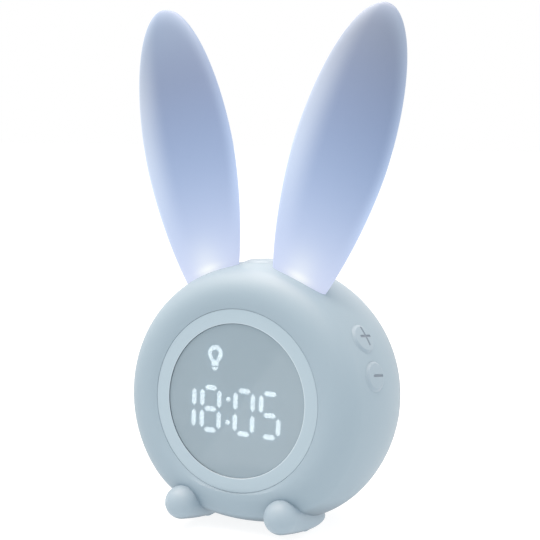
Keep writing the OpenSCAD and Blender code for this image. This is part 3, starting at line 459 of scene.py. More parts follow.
FLANGE_T, FLANGE_CLEAR = 0.8, 0.15
BEZEL_EDGE, INNER_CHAMFER, LAND_W, HAIR = 0.18, 0.08, 0.34, 0.01
LIT_RIGHT, LIT_UP, LIT_SPREAD, DIM_LAND = 0.97, -0.26, 1.2, 0.2
flange_r = window_r + LENS_FLANGE + FLANGE_CLEAR
bezel = turned_ring("bezel", (
    broken((window_r, face_y), (window_r, bezel_back), (BEZEL_R, face_y), INNER_CHAMFER, 1)
    + [(window_r + LAND_W, face_y), (window_r + LAND_W + 2 * HAIR, face_y)]
    + broken((BEZEL_R, face_y), (window_r, face_y), (BEZEL_R, bezel_back), BEZEL_EDGE)
    + [(BEZEL_R, bezel_back), (flange_r, bezel_back), (flange_r, bezel_back - FLANGE_T),
       (window_r, bezel_back - FLANGE_T)]))


def mark_rim(piece):
    """Marks painted highlight on the inner edge and painted shade on the wall; right and below,
    the wall is painted lit.
    """
    p = casing_points(piece)
    reach = np.hypot(p[:, 0], p[:, 2])
    on_land = (reach < window_r + LAND_W + HAIR) & (p[:, 1] < face_y + HAIR)
    in_recess = (reach < window_r + HAIR) & (p[:, 1] < bezel_back)
    # Right and below count as the lit side: more painted highlight there, and no painted shade.
    towards = (LIT_RIGHT * p[:, 0] + LIT_UP * p[:, 2]) / reach
    lit_side = smooth_step(0.5 + LIT_SPREAD * towards)
    write_values(piece, "land_highlight", (on_land | in_recess) * (DIM_LAND + (1 - DIM_LAND) * lit_side))
    write_values(piece, "recess_shade", in_recess * (1 - lit_side))


mark_rim(bezel)
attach(bezel, "clock")
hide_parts("bezel_ring")
print("bezel radius", BEZEL_R, "window radius", window_r)

# %% [markdown]
# The lens is a disc with a thin flange, which the bezel holds from the front. Its face is set
# back a little, and its edge is chamfered, so that a fine line of light and shade runs round it.

# %% Lens
LENS_RECESS, LENS_GAP, LENS_CHAMFER, LENS_SEAT = 0.38, 0.03, 0.12, 0.02
lens_r = window_r - LENS_GAP
lens_front, lens_back = face_y + LENS_RECESS, bezel_back - LENS_SEAT
lens = turned_ring("lens", (
    [(0, lens_front), (lens_r * 0.5, lens_front)]
    + broken((lens_r, lens_front), (0, lens_front), (lens_r, bezel_back), LENS_CHAMFER, 1)
    + [(lens_r, bezel_back - FLANGE_T), (flange_r - FLANGE_CLEAR, bezel_back - FLANGE_T),
       (flange_r - FLANGE_CLEAR, lens_back), (0, lens_back)]))
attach(lens, "clock")
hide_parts("display_lens")
print("lens radius", round(lens_r, 2), "front at", round(lens_front, 2))

# %% [markdown]
# ## The ears
# Each ear is a milky moulding with an oval section, which narrows to the root and is rounded at
# the tip. It could be sculpted from a stretched ball, but two formulas for its width, below and
# above the widest place, give the same outline on every ring. Only the outside shows, so the ear
# is one closed skin, and it is turned to lean outwards and a little back.

# %% Ear outline
EAR_L, EAR_HALF, EAR_WIDE_AT, EAR_TAPER = 112.4, 20.5, 52.2, 71.8
EAR_FLATNESS, TAPER_POWER = 0.31, 1.65
EAR_ANGLE, EAR_SINK, EAR_AHEAD = math.radians(22.75), 3.1, 11
EAR_OUT, EAR_BACK = math.radians(16), math.radians(2.4)
EAR_SIDES, EAR_ROWS = 96, 48
BOTH_SIDES = ((-1, "left"), (1, "right"))
ear_y = WIDEST_Y - EAR_AHEAD
ear_r = skin_r(ear_y) - EAR_SINK
ear_turn = full_turn(EAR_SIDES)
ear_heights = np.concatenate([
    np.linspace(0, EAR_WIDE_AT, EAR_ROWS, endpoint=False),
    EAR_WIDE_AT + (EAR_L - EAR_WIDE_AT) * np.sin(np.linspace(0, math.pi / 2, EAR_ROWS))])


def ear_half(s):
    """Half the ear's width at height s above its root."""
    low = 1 - np.clip((EAR_WIDE_AT - s) / EAR_TAPER, 0, 1) ** TAPER_POWER
    high = 1 - np.clip((s - EAR_WIDE_AT) / (EAR_L - EAR_WIDE_AT), 0, 1) ** 2
    return EAR_HALF * np.where(s < EAR_WIDE_AT, low ** (1 / TAPER_POWER), np.sqrt(high))


def ear_to_casing(points, side):
    """From the ear's own frame (width, thickness, height) to the casing's frame."""
    x, y, z = points.T
    cb, sb = math.cos(-EAR_BACK), math.sin(-EAR_BACK)
    y, z = y * cb - z * sb, y * sb + z * cb
    co, so = math.cos(EAR_OUT), math.sin(EAR_OUT)
    x, z = x * co + z * so, -x * so + z * co
    x = x + ear_r * math.sin(EAR_ANGLE)
    z = z + ear_r * math.cos(EAR_ANGLE)
    return np.stack([side * x, y + ear_y, z], -1)


print("ear root at", round(float(ear_r), 2), "mm from the axis")

# %% [markdown]
# An ear ends on the casing in a clean line. Letting it run on inside would be simpler, but two
# skins that pass through each other bother any later use of the meshes. So a solid of the casing,
# a little smaller than its skin, is taken out of the ear. The feet are seated the same way.

# %% Solid of the casing, to seat the ears and feet on
SEAT_SINK, SEAT_SHARP = 0.6, 60


def casing_solid():
    """The casing as one closed solid, a little under its skin."""
    rows = skin_rows(SEAT_SINK, -90, cut_to)
    first, y = rows[0]
    last, y_end = rows[-1]
    rows = [(first * 0, y), (first * 0.5, y)] + rows + [(last * 0.5, y_end), (last * 0, y_end)]
    return make_piece("casing_solid", on_ground(turned(rows)), grid_faces(len(rows), AROUND))


print("seats lie", SEAT_SINK, "mm under the skin")

# %% [markdown]
# The light inside an ear depends on where a point lies in it. The finished points are taken back
# to the ear's own frame, and five values are stored on them: how far across the ear they lie,
# how high up, how thick the ear is there, how far above the casing's skin they are, and how
# much of the room's light from the left reaches the tip.

# %% Build the ears
TIP_FROM, TIP_OVER, NARROWEST = 76, 34, 0.5


def ear_values(piece, side):
    """Stores where a finished ear's points lie: across from -1 to 1, the rest mostly in mm."""
    p = casing_points(piece)
    x, y, z = side * p[:, 0], p[:, 1] - ear_y, p[:, 2]
    x = x - ear_r * math.sin(EAR_ANGLE)
    z = z - ear_r * math.cos(EAR_ANGLE)
    co, so = math.cos(EAR_OUT), math.sin(EAR_OUT)
    x, z = x * co - z * so, x * so + z * co
    cb, sb = math.cos(-EAR_BACK), math.sin(-EAR_BACK)
    z = -y * sb + z * cb
    half = np.maximum(ear_half(z), NARROWEST)
    across = np.clip(x / half, -1, 1)
    write_values(piece, "across", side * across)
    write_values(piece, "above", np.hypot(p[:, 0], p[:, 2]) - skin_r(p[:, 1]))
    write_values(piece, "tip_light", smooth_step((z - TIP_FROM) / TIP_OVER) * (side < 0))
    write_values(piece, "height", z)
    write_values(piece, "thickness", 2 * EAR_FLATNESS * half * np.sqrt(1 - across ** 2))


ears = []
for side, name in BOTH_SIDES:
    rings = []
    for s in ear_heights:
        half = float(ear_half(s))
        rings.append(np.stack([half * np.cos(ear_turn), half * EAR_FLATNESS * np.sin(ear_turn),
                               np.full(EAR_SIDES, s)], -1))
    points = ear_to_casing(np.concatenate(rings), side)
    faces = grid_faces(len(ear_heights), EAR_SIDES) + [range(EAR_SIDES)]
    ear = make_piece(name + "_ear_moulding", on_ground(points), faces, SEAT_SHARP)
    cut(ear, casing_solid(), keep_sharp=SEAT_SHARP)
    ear_values(ear, side)
    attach(ear, "clock")
    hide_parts(name + "_ear")
    ears.append(ear)
print("ear faces:", len(ears[0].data.polygons))

# %% [markdown]
# ## The feet
# A foot is a round toe that tapers in one long curve to the back, where it runs into the
# underside. A stretched ball would taper to both ends, so the foot is built from rings, square to
# its own tilted axis: half a ball in front, and half a long oval behind. Below, the points are
# held a little above the ground, which leaves a flat for the sole.

# %% Build the feet
FOOT_X, FOOT_R, FOOT_L, TOE_UP = 22.2, 6.6, 37.0, 10.4
FOOT_TILT, FLAT_UP = math.radians(13.3), 0.25
FOOT_SIDES, TOE_ROWS, HEEL_ROWS = 96, 28, 40
foot_turn = full_turn(FOOT_SIDES)
toe = [(-FOOT_R * math.cos(a), FOOT_R * math.sin(a))
       for a in np.linspace(0, math.pi / 2, TOE_ROWS, endpoint=False)]
heel = [(FOOT_L * math.sin(a), FOOT_R * math.cos(a))
        for a in np.linspace(0, math.pi / 2, HEEL_ROWS)]


def from_toe(x, y, z):
    """Points in metres on the ground; x is from the middle, y from the toe's middle, z up."""
    return np.stack([x, y + head_y - toe_reach + FOOT_R, z], -1) * MM


feet = []
for side, name in BOTH_SIDES:
    rings = []
    for back, r in toe + heel:
        across, up = r * np.cos(foot_turn), r * np.sin(foot_turn)
        y = back * math.cos(FOOT_TILT) + up * math.sin(FOOT_TILT)
        z = -back * math.sin(FOOT_TILT) + up * math.cos(FOOT_TILT)
        rings.append(from_toe(side * FOOT_X + across, y, np.maximum(z + TOE_UP, FLAT_UP)))
    foot = make_piece(name + "_foot_moulding", np.concatenate(rings),
                      grid_faces(len(rings), FOOT_SIDES), SEAT_SHARP)
    cut(foot, casing_solid(), keep_sharp=SEAT_SHARP)
    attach(foot, "clock")
    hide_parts(name + "_foot")
    feet.append(foot)
print("foot faces:", len(feet[0].data.polygons))

# %% [markdown]
# A thin strip of rubber under each foot grips the table. It is a small bar with round ends and a
# broken lower edge, let into the foot's flat so far that only its lowest part shows. Both strips
# are one piece, as they are one node of the model.

# %% Build the soles
SOLE_BACK, SOLE_HALF_L, SOLE_HALF_W, SOLE_TOP, SOLE_EDGE = 24.0, 6.0, 1.5, 0.75, 0.15
SOLE_SIDES = 48
sole_turn = full_turn(SOLE_SIDES)
sole_ends = np.sign(np.round(np.sin(sole_turn), 6)) * (SOLE_HALF_L - SOLE_HALF_W)
sole_rows = ((0, 0), (SOLE_HALF_W - SOLE_EDGE, 0), (SOLE_HALF_W, SOLE_EDGE),
             (SOLE_HALF_W, SOLE_TOP), (0, SOLE_TOP))
sole_points, sole_faces = [], []
for side in (-1, 1):
    start = len(sole_points) * SOLE_SIDES
    sole_faces += [[k + start for k in face]
                   for face in grid_faces(len(sole_rows), SOLE_SIDES)]
    for r, z in sole_rows:
        sole_points.append(from_toe(side * FOOT_X + r * np.cos(sole_turn),
                                    SOLE_BACK + r * np.sin(sole_turn) + sole_ends,
                                    np.full(SOLE_SIDES, z)))
soles = make_piece("foot_soles", np.concatenate(sole_points), sole_faces, SEAT_SHARP)
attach(soles, "clock")
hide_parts("foot_pads")
print("sole faces:", len(sole_faces))

# %% [markdown]
# ## The buttons
# A button's top follows the casing's skin, standing a little proud of it, with a rounded edge.
# The signs are pressed into it. They could be cut with solids, but such small cuts leave thin,
# ragged faces on a curved top. So each sign is a formula for the distance to its edge, negative
# inside, and the same few lines press any sign into any button.

# %% Shapes of the signs
BAR_HALF, UPRIGHT_HALF, BAR_THICK = 3.25, 4.0, 0.47
SIGN_BACK, PLUS_UP, DOT_SHARE, FAR_AWAY = 1.2, 0.7, 0.6, 9.0
BAR_LEAN, UPRIGHT_LEAN = math.radians(-6.5), math.radians(4)


def bar_distance(x, y, half_x, half_y):
    """Distance to the edge of a bar with round ends, negative inside."""
    dx = np.abs(x) - (half_x - half_y)
    return np.hypot(np.maximum(dx, 0), y) - half_y


def leaning(x, y, angle):
    """The signs sit a little behind the button's middle, and their bars lean slightly."""
    x = x - SIGN_BACK
    c, s = math.cos(angle), math.sin(angle)
    return x * c + y * s, y * c - x * s


def minus_sign(x, y):
    """Each sign takes places on a button, back and up from its middle, in mm."""
    x, y = leaning(x, y, BAR_LEAN)
    return bar_distance(x, y, BAR_HALF, BAR_THICK)


def plus_sign(x, y):
    y = y - PLUS_UP
    across, up = leaning(x, y, UPRIGHT_LEAN)
    return np.minimum(minus_sign(x, y), bar_distance(up, across, UPRIGHT_HALF, BAR_THICK))


def dot_sign(x, y):
    return np.hypot(x, y) - BAR_HALF * DOT_SHARE


def ring_sign(x, y):
    return np.abs(np.hypot(x, y) - BAR_HALF) - BAR_THICK


def no_sign(x, y):
    return np.full_like(x, FAR_AWAY)


print("bars of the signs:", 2 * BAR_HALF, "and", 2 * UPRIGHT_HALF, "mm long")

# %% [markdown]
# The top of a button is a dense round grid, closest near the rim, where it bends most. Each of
# its points is lowered inside the sign, with soft flanks, and its edge falls to the casing's skin
# in a smooth curve. A value on the points lets the finish darken the sign. The underside stays
# high enough to clear the switch when the button is pressed.

# %% Build the buttons
BUTTON_SIDES, BUTTON_RINGS, RING_SPREAD, BUTTON_SHARP = 160, 90, 1.25, 50
ENGRAVE, SIGN_FLANK, EDGE_DROP = 0.3, 0.22, 0.96
# How far a top stands proud, the width of its rounded edge, and the height of its underside
CROWN_TOP, SIDE_TOP = (0.6, 2.2, 47.4), (0.8, 1.25, 45.2)
button_turn = full_turn(BUTTON_SIDES)


def build_button(name, node, body, axes, shift, radius, top, sign):
    """A button on the axes origin, u, v, w; shift is its place along v."""
    origin, u, v, w = axes
    proud, edge, underside = top
    rings, marks = [], []
    for r in radius * (1 - (1 - np.linspace(0, 1, BUTTON_RINGS)) ** RING_SPREAD):
        x, y = r * np.cos(button_turn), r * np.sin(button_turn)
        skin = skin_r(origin[1] + x) + proud
        z = np.sqrt(skin ** 2 - (y + shift) ** 2)
        over = max(0.0, r - (radius - edge)) / edge
        z = z - proud * EDGE_DROP * (1 - math.cos(math.pi * over)) / 2
        pressed = smooth_step(0.5 - sign(x, y) / SIGN_FLANK)
        rings.append((x, y, z - ENGRAVE * pressed))
        marks.append(pressed)
    x, y, z = rings[-1]
    rings += [(x, y, z * 0 + underside), (x * 0, y * 0, z * 0 + underside)]
    marks += [np.zeros(BUTTON_SIDES)] * 2
    points = np.concatenate([
        origin + np.outer(x, u) + np.outer(y + shift, v) + np.outer(z, w) for x, y, z in rings])
    button = make_piece(name, on_ground(points), grid_faces(len(rings), BUTTON_SIDES),
                        BUTTON_SHARP, sign=np.concatenate(marks))
    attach(button, body)
    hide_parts(node)
    return button


buttons = [build_button("night_light_pad", "night_light_button", "night_light_key",
                        (crown, BACK, RIGHT, UP), 0, TOP_KEY_R, CROWN_TOP, no_sign)]
for side, place, name, sign in ((1, 1, "plus", plus_sign), (1, -1, "minus", minus_sign),
                                (-1, 1, "mode", dot_sign), (-1, -1, "alarm", ring_sign)):
    buttons.append(build_button(name + "_cap", name + "_button", name + "_key", key_axes(side),
                                place * KEY_PITCH / 2, KEY_R, SIDE_TOP, sign))
print("buttons:", [b.name for b in buttons])

# %% [markdown]
# ## Finishes
# Shader maths could be built node by node, but it reads best as plain expressions. The small
# class below wraps a socket of a node, so that `1 - mask * 0.5` adds the Math nodes by itself, and
# `node` adds any other node. An input is given by its name, or as `_6` by its place, where a node
# has several inputs of one name, as the Mix node has.


# %% Shader maths as expressions
class Socket:
    """An output socket in a node tree; arithmetic on it adds Math nodes."""

    def __init__(self, tree, out):
        self.tree, self.out = tree, out

    def node(self, kind, settings=None, output=0, **inputs):
        """Adds a node: settings first, then the values or links of its inputs by name or place."""
        made = self.tree.nodes.new(kind)
        for key, value in (settings or {}).items():
            setattr(made, key, value)
        for key, value in inputs.items():
            put(self.tree, made.inputs[int(key[1:]) if key[1:].isdigit() else key], value)
        return Socket(self.tree, made.outputs[output])

    def maths(self, operation, *values):
        inputs = {f"_{place}": value for place, value in enumerate(values)}
        return self.node("ShaderNodeMath", {"operation": operation}, **inputs)

    def __add__(self, other):
        return self.maths("ADD", self, other)

    def __sub__(self, other):
        return self.maths("SUBTRACT", self, other)

    def __rsub__(self, other):
        return self.maths("SUBTRACT", other, self)

    def __mul__(self, other):
        return self.maths("MULTIPLY", self, other)

    def __rmul__(self, other):
        return self.maths("MULTIPLY", other, self)

    def __radd__(self, other):
        return self.maths("ADD", other, self)

    def __truediv__(self, other):
        return self.maths("DIVIDE", self, other)

    def __pow__(self, other):
        return self.maths("POWER", self, other)

    def at_least(self, low):
        return self.maths("MAXIMUM", self, low)

    def exp(self):
        return self.maths("EXPONENT", self)

    def ramp(self, start, stop):
        """0 at start and 1 at stop, with soft ends; start may be the larger."""
        return self.node("ShaderNodeMapRange", {"interpolation_type": "SMOOTHSTEP"},
                         _0=self, _1=start, _2=stop)

    def stored(self, name):
        """The value that write_values stored on the points."""
        return self.node("ShaderNodeAttribute", {"attribute_name": name}, output=2)


def put(tree, place, value):
    """Links a socket to an input, or sets the input's value."""
    if isinstance(value, Socket):
        tree.links.new(value.out, place)
    else:
        place.default_value = value


print("shader maths ready")

# %% [markdown]
# A finish starts from Blender's Principled shader. The helpers below give colours as they look
# on a screen, mix them through a Mix node, because a Math node would turn them grey, and add the
# fine grain that every moulded surface has.


# %% Helpers for the finishes
def colour(red, green, blue):
    """A colour given as it looks on screen, 0 to 255, in Blender's linear values."""
    linear = [(c / 255 / 12.92) if c / 255 <= 0.04045 else ((c / 255 + 0.055) / 1.055) ** 2.4
              for c in (red, green, blue)]
    return (*linear, 1.0)


def darker(tone, share):
    """The tone with a share of its light taken away."""
    return tuple(c * (1 - share) for c in tone[:3]) + (1.0,)


def blend_colours(where, factor, a, b):
    """Colour a where factor is 0 and b where it is 1."""
    return where.node("ShaderNodeMix", {"data_type": "RGBA"}, output=2, _0=factor, _6=a, _7=b)


def new_finish(name, **constants):
    """A Principled material: returns it, its shader and a place socket in the object's metres."""
    material = bpy.data.materials.new(name)
    material.use_nodes = True
    tree = material.node_tree
    shader = tree.nodes["Principled BSDF"]
    for key, value in constants.items():
        shader.inputs[key.replace("_", " ")].default_value = value
    where = tree.nodes.new("ShaderNodeTexCoord")
    return material, shader, Socket(tree, where.outputs["Object"])


def grain(where, shader, size_mm, depth_mm):
    """Moulded texture: a fine noise that bumps the surface; returns the noise."""
    noise = where.node("ShaderNodeTexNoise", Vector=where, Scale=1 / (size_mm * MM), Detail=2.0)
    bump = where.node("ShaderNodeBump", Strength=0.6, Distance=depth_mm * MM, Height=noise)
    put(where.tree, shader.inputs["Normal"], bump)
    return noise


def clouded(where, factor, tone, drift):
    """A tone that drifts a little darker where factor is high."""
    return blend_colours(where, factor, tone, darker(tone, drift))


def wear(piece, material):
    """Gives the whole piece one finish."""
    piece.data.materials.clear()
    piece.data.materials.append(material)


print("finish helpers ready")

# %% [markdown]
# ### Moulded plastic
# The casing is a matte, pale grey-blue plastic. Its colour drifts very slightly, as moulded
# plastic does, and a fine grain breaks up the highlights. One flat colour would look painted.
# What faces the table is darker, as hardly any light gets in there.

# %% Casing, bezel and button finishes
CLOUD_SCALE, CLOUD_SHARE, CLOUD_DRIFT = 28.0, 0.12, 0.03
CASE_GRAIN, CASE_BUMP, GLOSS_DRIFT = 0.35, 0.01, 0.08


def plastic(name, tone, roughness):
    """A moulded plastic; returns also its place socket and its base colour, to add to."""
    material, shader, where = new_finish(name)
    cloud = where.node("ShaderNodeTexNoise", Vector=where, Scale=CLOUD_SCALE, Detail=2.0)
    base = clouded(where, cloud.ramp(0.3, 0.7) * CLOUD_SHARE, tone, CLOUD_DRIFT)
    noise = grain(where, shader, CASE_GRAIN, CASE_BUMP)
    put(where.tree, shader.inputs["Roughness"], roughness + (noise - 0.5) * GLOSS_DRIFT)
    return material, shader, where, base


def shaded_below(where, base):
    """Darkens what faces the table; a face that points straight down has a normal of -1 in Z."""
    normal = where.node("ShaderNodeNewGeometry", output=1)
    below = where.node("ShaderNodeSeparateXYZ", output=2, Vector=normal).ramp(-0.65, -0.94)
    return blend_colours(where, below * 0.75, base, colour(92, 108, 120))


case_finish, shader, where, base = plastic("case_plastic", colour(142, 162, 175), 0.5)
put(where.tree, shader.inputs["Base Color"], shaded_below(where, base))
bezel_finish, shader, where, base = plastic("bezel_plastic", colour(157, 177, 189), 0.32)
# Painted highlight on the bezel's inner edge, stronger to the right and below.
base = blend_colours(where, where.stored("land_highlight") * 0.7, base, colour(190, 205, 215))
# Painted shade on the recess wall, to the left and above.
base = blend_colours(where, where.stored("recess_shade") * 0.85, base, colour(84, 98, 110))
put(where.tree, shader.inputs["Base Color"], base)
button_finish, shader, where, base = plastic("button_plastic", colour(143, 162, 175), 0.45)
base = blend_colours(where, where.stored("sign") * 0.8, base, colour(106, 118, 132))
put(where.tree, shader.inputs["Base Color"], base)
foot_finish, shader, where, base = plastic("foot_plastic", colour(148, 167, 180), 0.48)
put(where.tree, shader.inputs["Base Color"], shaded_below(where, base))
plastic_pieces = ((case_finish, (main_shell, rear_cover, *tunnels)), (foot_finish, feet),
                  (bezel_finish, (bezel,)), (button_finish, buttons))
for finish, pieces in plastic_pieces:
    for piece in pieces:
        wear(piece, finish)
print("plastic finishes on", sum(len(pieces) for finish, pieces in plastic_pieces), "pieces")

# %% [markdown]
# ### Milky ears
# An ear is lit from its root by small lamps under it, which show as a white spot there. Red
# light is lost soonest on its way up, so the glow turns blue and then fades into the grey-blue
# of the plastic. Room light soaks into the thin rim on the left, which stays pale. Scattering
# the light for real would be slow and noisy, so each of these is a formula on the stored values,
# and the ear gives off their sum.

# %% Ear finish
ear_finish, shader, where = new_finish("ear_milky", Roughness=0.5, Emission_Strength=1.0)
noise = grain(where, shader, 0.5, 0.01)
put(where.tree, shader.inputs["Base Color"], blend_colours(
    where, noise, (0.160, 0.208, 0.300, 1.0), (0.152, 0.198, 0.288, 1.0)))
across, height, thickness = (where.stored(name) for name in ("across", "height", "thickness"))
above, tip_light = where.stored("above"), where.stored("tip_light")
GLOW_TOP, GLOW_SPAN, LAMP_ACROSS = 104, 94, 0.06
nearness = (GLOW_TOP - height).at_least(0) / GLOW_SPAN
halo = (0 - ((across - LAMP_ACROSS) / 0.45) ** 2 - ((height - 3) / 10) ** 2).exp()
core = (0 - ((across - LAMP_ACROSS) / 0.42) ** 2 - ((above - 1.6) / 1.7) ** 2).exp()
lamp = core * 0.7 + halo * 0.75
rim = (0 - across).ramp(0.2, 0.9) * height.ramp(4, 56) * (1 - height.ramp(70, 108) * 0.6)
edge = thickness.ramp(7, 1) * height.ramp(6, 40)


def glow(power, far, lamp_share, rim_share, edge_share, tip_share):
    """One channel of the glow: how fast it fades upwards, and what each light adds to it."""
    return (nearness ** power * far + lamp * lamp_share + rim * rim_share + edge * edge_share
            + tip_light * tip_share)


put(where.tree, shader.inputs["Emission Color"], where.node(
    "ShaderNodeCombineColor", Red=glow(2.6, 0.345, 0.2, 0.27, 0.13, 0.04),
    Green=glow(2.0, 0.38, 0.18, 0.27, 0.155, 0.07), Blue=glow(1.4, 0.5, 0.05, 0.235, 0.18, 0.11)))
for ear in ears:
    wear(ear, ear_finish)
print("ears finished:", len(ears))

# %% [markdown]
# ### The display
# The lens is a smoked plastic that lets part of the light through. Behind it the mask and the
# unlit light pipes have the lens's own tone, so that they vanish, and the lit pipes glow. They are
# the model's own pieces, as their shapes are right. A picture of digits would be quicker, but it
# would lie flat on the mask, and this glow has depth.

# %% Lens, mask and light pipes
SMOKE = colour(146, 166, 178)


def tinted(where, shader, tone, drift, scale=60.0):
    """Base colour with a faint cloud in it, as in tinted plastic."""
    cloud = where.node("ShaderNodeTexNoise", Vector=where, Scale=scale, Detail=2.0)
    base = clouded(where, cloud.ramp(0.3, 0.7), tone, drift)
    put(where.tree, shader.inputs["Base Color"], base)


lens_finish, shader, where = new_finish("smoked_lens", Roughness=0.05, Alpha=0.7)
tinted(where, shader, SMOKE, 0.02)
mask_finish, shader, where = new_finish("mask_plastic", Roughness=0.55)
tinted(where, shader, SMOKE, 0.03)
grain(where, shader, 1.5, 0.002)
pipe_finish, shader, where = new_finish("lit_pipe", Roughness=0.4, Emission_Strength=3.9)
tinted(where, shader, colour(235, 245, 250), 0.03, 900.0)
put(where.tree, shader.inputs["Emission Color"], colour(246, 248, 246))
nodes = frame["nodes"]
wear(lens, lens_finish)
wear(nodes["display_mask"], mask_finish)
wear(nodes["unlit_segments"], mask_finish)
wear(nodes["lit_segments"], pipe_finish)
print("display finished")

# %% [markdown]
# ### Inside pieces
# The pieces behind the casing are rarely seen, but each still gets the finish of its stuff: a
# tone that drifts with a fine grain, and the roughness and metal of a circuit board, a plated
# screw, a brass standoff, rubber or dark plastic. The table goes by the slots of the model.


# %% Finishes of the inside pieces
def simple_finish(name, tone, roughness, metallic=0.0):
    """A plain stuff whose tone, gloss and surface all drift with one fine grain."""
    material, shader, where = new_finish(name, Metallic=metallic)
    noise = grain(where, shader, 0.6, 0.02)
    put(where.tree, shader.inputs["Base Color"], clouded(where, noise, tone, 0.16))
    put(where.tree, shader.inputs["Roughness"], roughness + (noise - 0.5) * 0.1)
    return material


inside = {
    "board": simple_finish("solder_mask", colour(40, 108, 78), 0.35),
    "black_plastic": simple_finish("dark_plastic", colour(32, 32, 34), 0.5),
    "steel": simple_finish("plated_steel", colour(176, 176, 180), 0.3, 1.0),
    "nickel": simple_finish("nickel_sheet", colour(186, 182, 172), 0.28, 1.0),
    "standoff": simple_finish("bright_brass", colour(196, 166, 96), 0.3, 1.0),
    "cell": simple_finish("cell_sleeve", colour(52, 120, 180), 0.3),
    "rubber": simple_finish("soft_rubber", colour(164, 184, 197), 0.8),
    "magnet": simple_finish("ferrite", colour(38, 38, 40), 0.6),
    "cone": simple_finish("paper_cone", colour(28, 28, 30), 0.9),
    "foam": simple_finish("foam", colour(40, 40, 42), 0.95),
    "led": simple_finish("led_body", colour(240, 236, 214), 0.3),
}
dressed = 0
for row in frame["record"]["subparts"]:
    slot = row["material_slot"]
    if slot in inside:
        wear(nodes[row["node"]], inside[slot])
        dressed += 1
wear(soles, inside["rubber"])
print("inside pieces dressed:", dressed)

# %% [markdown]
# ## Light, floor and camera
# The clock stands on a plain white floor in a white room. The floor glows a little itself, so
# that it stays white up to the clock and still takes a faint shadow.

# %% Floor and surroundings
FLOOR_HALF, FLOOR_GREY = 4.0, 0.28
WHITE = (1, 1, 1, 1)
world = bpy.data.worlds.new("white_room")
world.use_nodes = True
background = world.node_tree.nodes["Background"]
background.inputs["Color"].default_value = WHITE
background.inputs["Strength"].default_value = 1.0
bpy.context.scene.world = world
bpy.context.scene.view_settings.view_transform = "Standard"

floor_mesh = bpy.data.meshes.new("floor")
floor_mesh.from_pydata([(-FLOOR_HALF, -FLOOR_HALF, 0), (FLOOR_HALF, -FLOOR_HALF, 0),
                        (FLOOR_HALF, FLOOR_HALF, 0), (-FLOOR_HALF, FLOOR_HALF, 0)],
                       [], [(0, 1, 2, 3)])
floor = bpy.data.objects.new("floor", floor_mesh)
bpy.context.scene.collection.objects.link(floor)
floor_finish, shader, where = new_finish("white_floor", Roughness=0.9, Emission_Strength=0.85,
                                         Specular_IOR_Level=0.0)
put(where.tree, shader.inputs["Base Color"], (FLOOR_GREY, FLOOR_GREY, FLOOR_GREY, 1))
put(where.tree, shader.inputs["Emission Color"], WHITE)
wear(floor, floor_finish)
print("floor", 2 * FLOOR_HALF, "m wide")

# %% [markdown]
# Large, soft lights above and to the left, in front and behind, give the casing its shape. They
# are warm, because the white room would otherwise wash the grey-blue out to blue. Three weak
# ones on the right and behind keep the far sides from going flat.


# %% Lights
def area_light(name, place, target, size, power, tint=(1, 1, 1)):
    """A square light at a place, turned to its target; the camera doesn't see it."""
    lamp = bpy.data.lights.new(name, "AREA")
    lamp.shape, lamp.size, lamp.energy, lamp.color = "SQUARE", size, power, tint
    light = bpy.data.objects.new(name, lamp)
    light.location = place
    light.rotation_euler = (Vector(target) - Vector(place)).to_track_quat("-Z", "Y").to_euler()
    light.visible_camera = False
    bpy.context.scene.collection.objects.link(light)
    return light


STUDIO_MIDDLE, STUDIO_SIZE = Vector((0, 0, 0.07)), 0.6
WARM, WARMER = (1, 0.855, 0.76), (1, 0.77, 0.64)


def studio_light(name, azimuth, elevation, power, tint=WARM):
    """A soft light one metre away; azimuth 0 is in front, and it grows to the right."""
    a, e = math.radians(azimuth), math.radians(elevation)
    way = Vector((math.sin(a) * math.cos(e), -math.cos(a) * math.cos(e), math.sin(e)))
    return area_light(name, STUDIO_MIDDLE + way, STUDIO_MIDDLE, STUDIO_SIZE, power, tint)


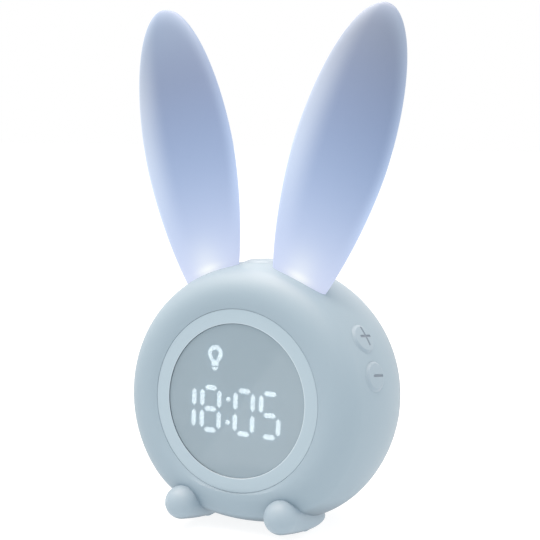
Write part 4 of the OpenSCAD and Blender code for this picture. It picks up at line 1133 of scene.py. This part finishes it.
studio = [studio_light("top", 0, 90, 7.7, WARMER),
          studio_light("front_left", -60, 58, 4.3),
          studio_light("back_left", 240, 58, 5.2),
          studio_light("front_right", 42, 62, 1.1),
          studio_light("back", 180, 22, 0.7),
          studio_light("back_right", 120, 22, 0.9)]
print("studio lights:", len(studio), "with", round(sum(s.data.energy for s in studio), 1), "W")

# %% [markdown]
# The lens mirrors the room in front of it. A dim light, low in front on the left, shows in it as
# a soft sheen with a slanting edge. The light's right edge is laid along the line where a ray
# from the eye, mirrored by the lens, would pass, and only the lens receives it.

# %% Sheen on the lens
edge_low, edge_high = Vector((-0.113, -0.196, 0.004)), Vector((-0.074, -0.202, 0.064))
lens_middle = Vector((0, -0.026, 0.052))
SHEEN_SIZE, SHEEN_POWER = 0.2, 0.1
upward = (edge_high - edge_low).normalized()
sideways = upward.cross(lens_middle - (edge_low + edge_high) / 2).normalized()
if sideways.x < 0:
    sideways = -sideways
sheen_middle = (edge_low + edge_high) / 2 + sideways * SHEEN_SIZE / 2
sheen = area_light("sheen", sheen_middle, lens_middle, SHEEN_SIZE, SHEEN_POWER)
sheen.rotation_euler = Matrix((sideways, upward, sideways.cross(upward))).transposed().to_euler()
lens_only = bpy.data.collections.new("lens_only")
lens_only.objects.link(lens)
sheen.light_linking.receiver_collection = lens_only
print("sheen light at", tuple(round(c, 3) for c in sheen.location))

# %% [markdown]
# The camera stands to the right of the face and a little above the clock's middle. It could come
# closer with a wide lens, but a long lens from farther off keeps the ears from spreading.

# %% Camera
FOCAL_MM, SENSOR_MM = 93.28, 36
CAMERA_AT = (0.265284, -0.486597, 0.167845)
LOOK_DOWN, TURN_LEFT = 6.87, 28.444
camera_data = bpy.data.cameras.new("camera")
camera_data.sensor_width, camera_data.lens = SENSOR_MM, FOCAL_MM
camera_data.clip_start, camera_data.clip_end = 0.01, 20
camera = bpy.data.objects.new("camera", camera_data)
camera.location = CAMERA_AT
camera.rotation_euler = (math.radians(90 - LOOK_DOWN), 0, math.radians(TURN_LEFT))
bpy.context.scene.collection.objects.link(camera)
bpy.context.scene.camera = camera
print("camera at", tuple(round(c, 3) for c in camera.location))
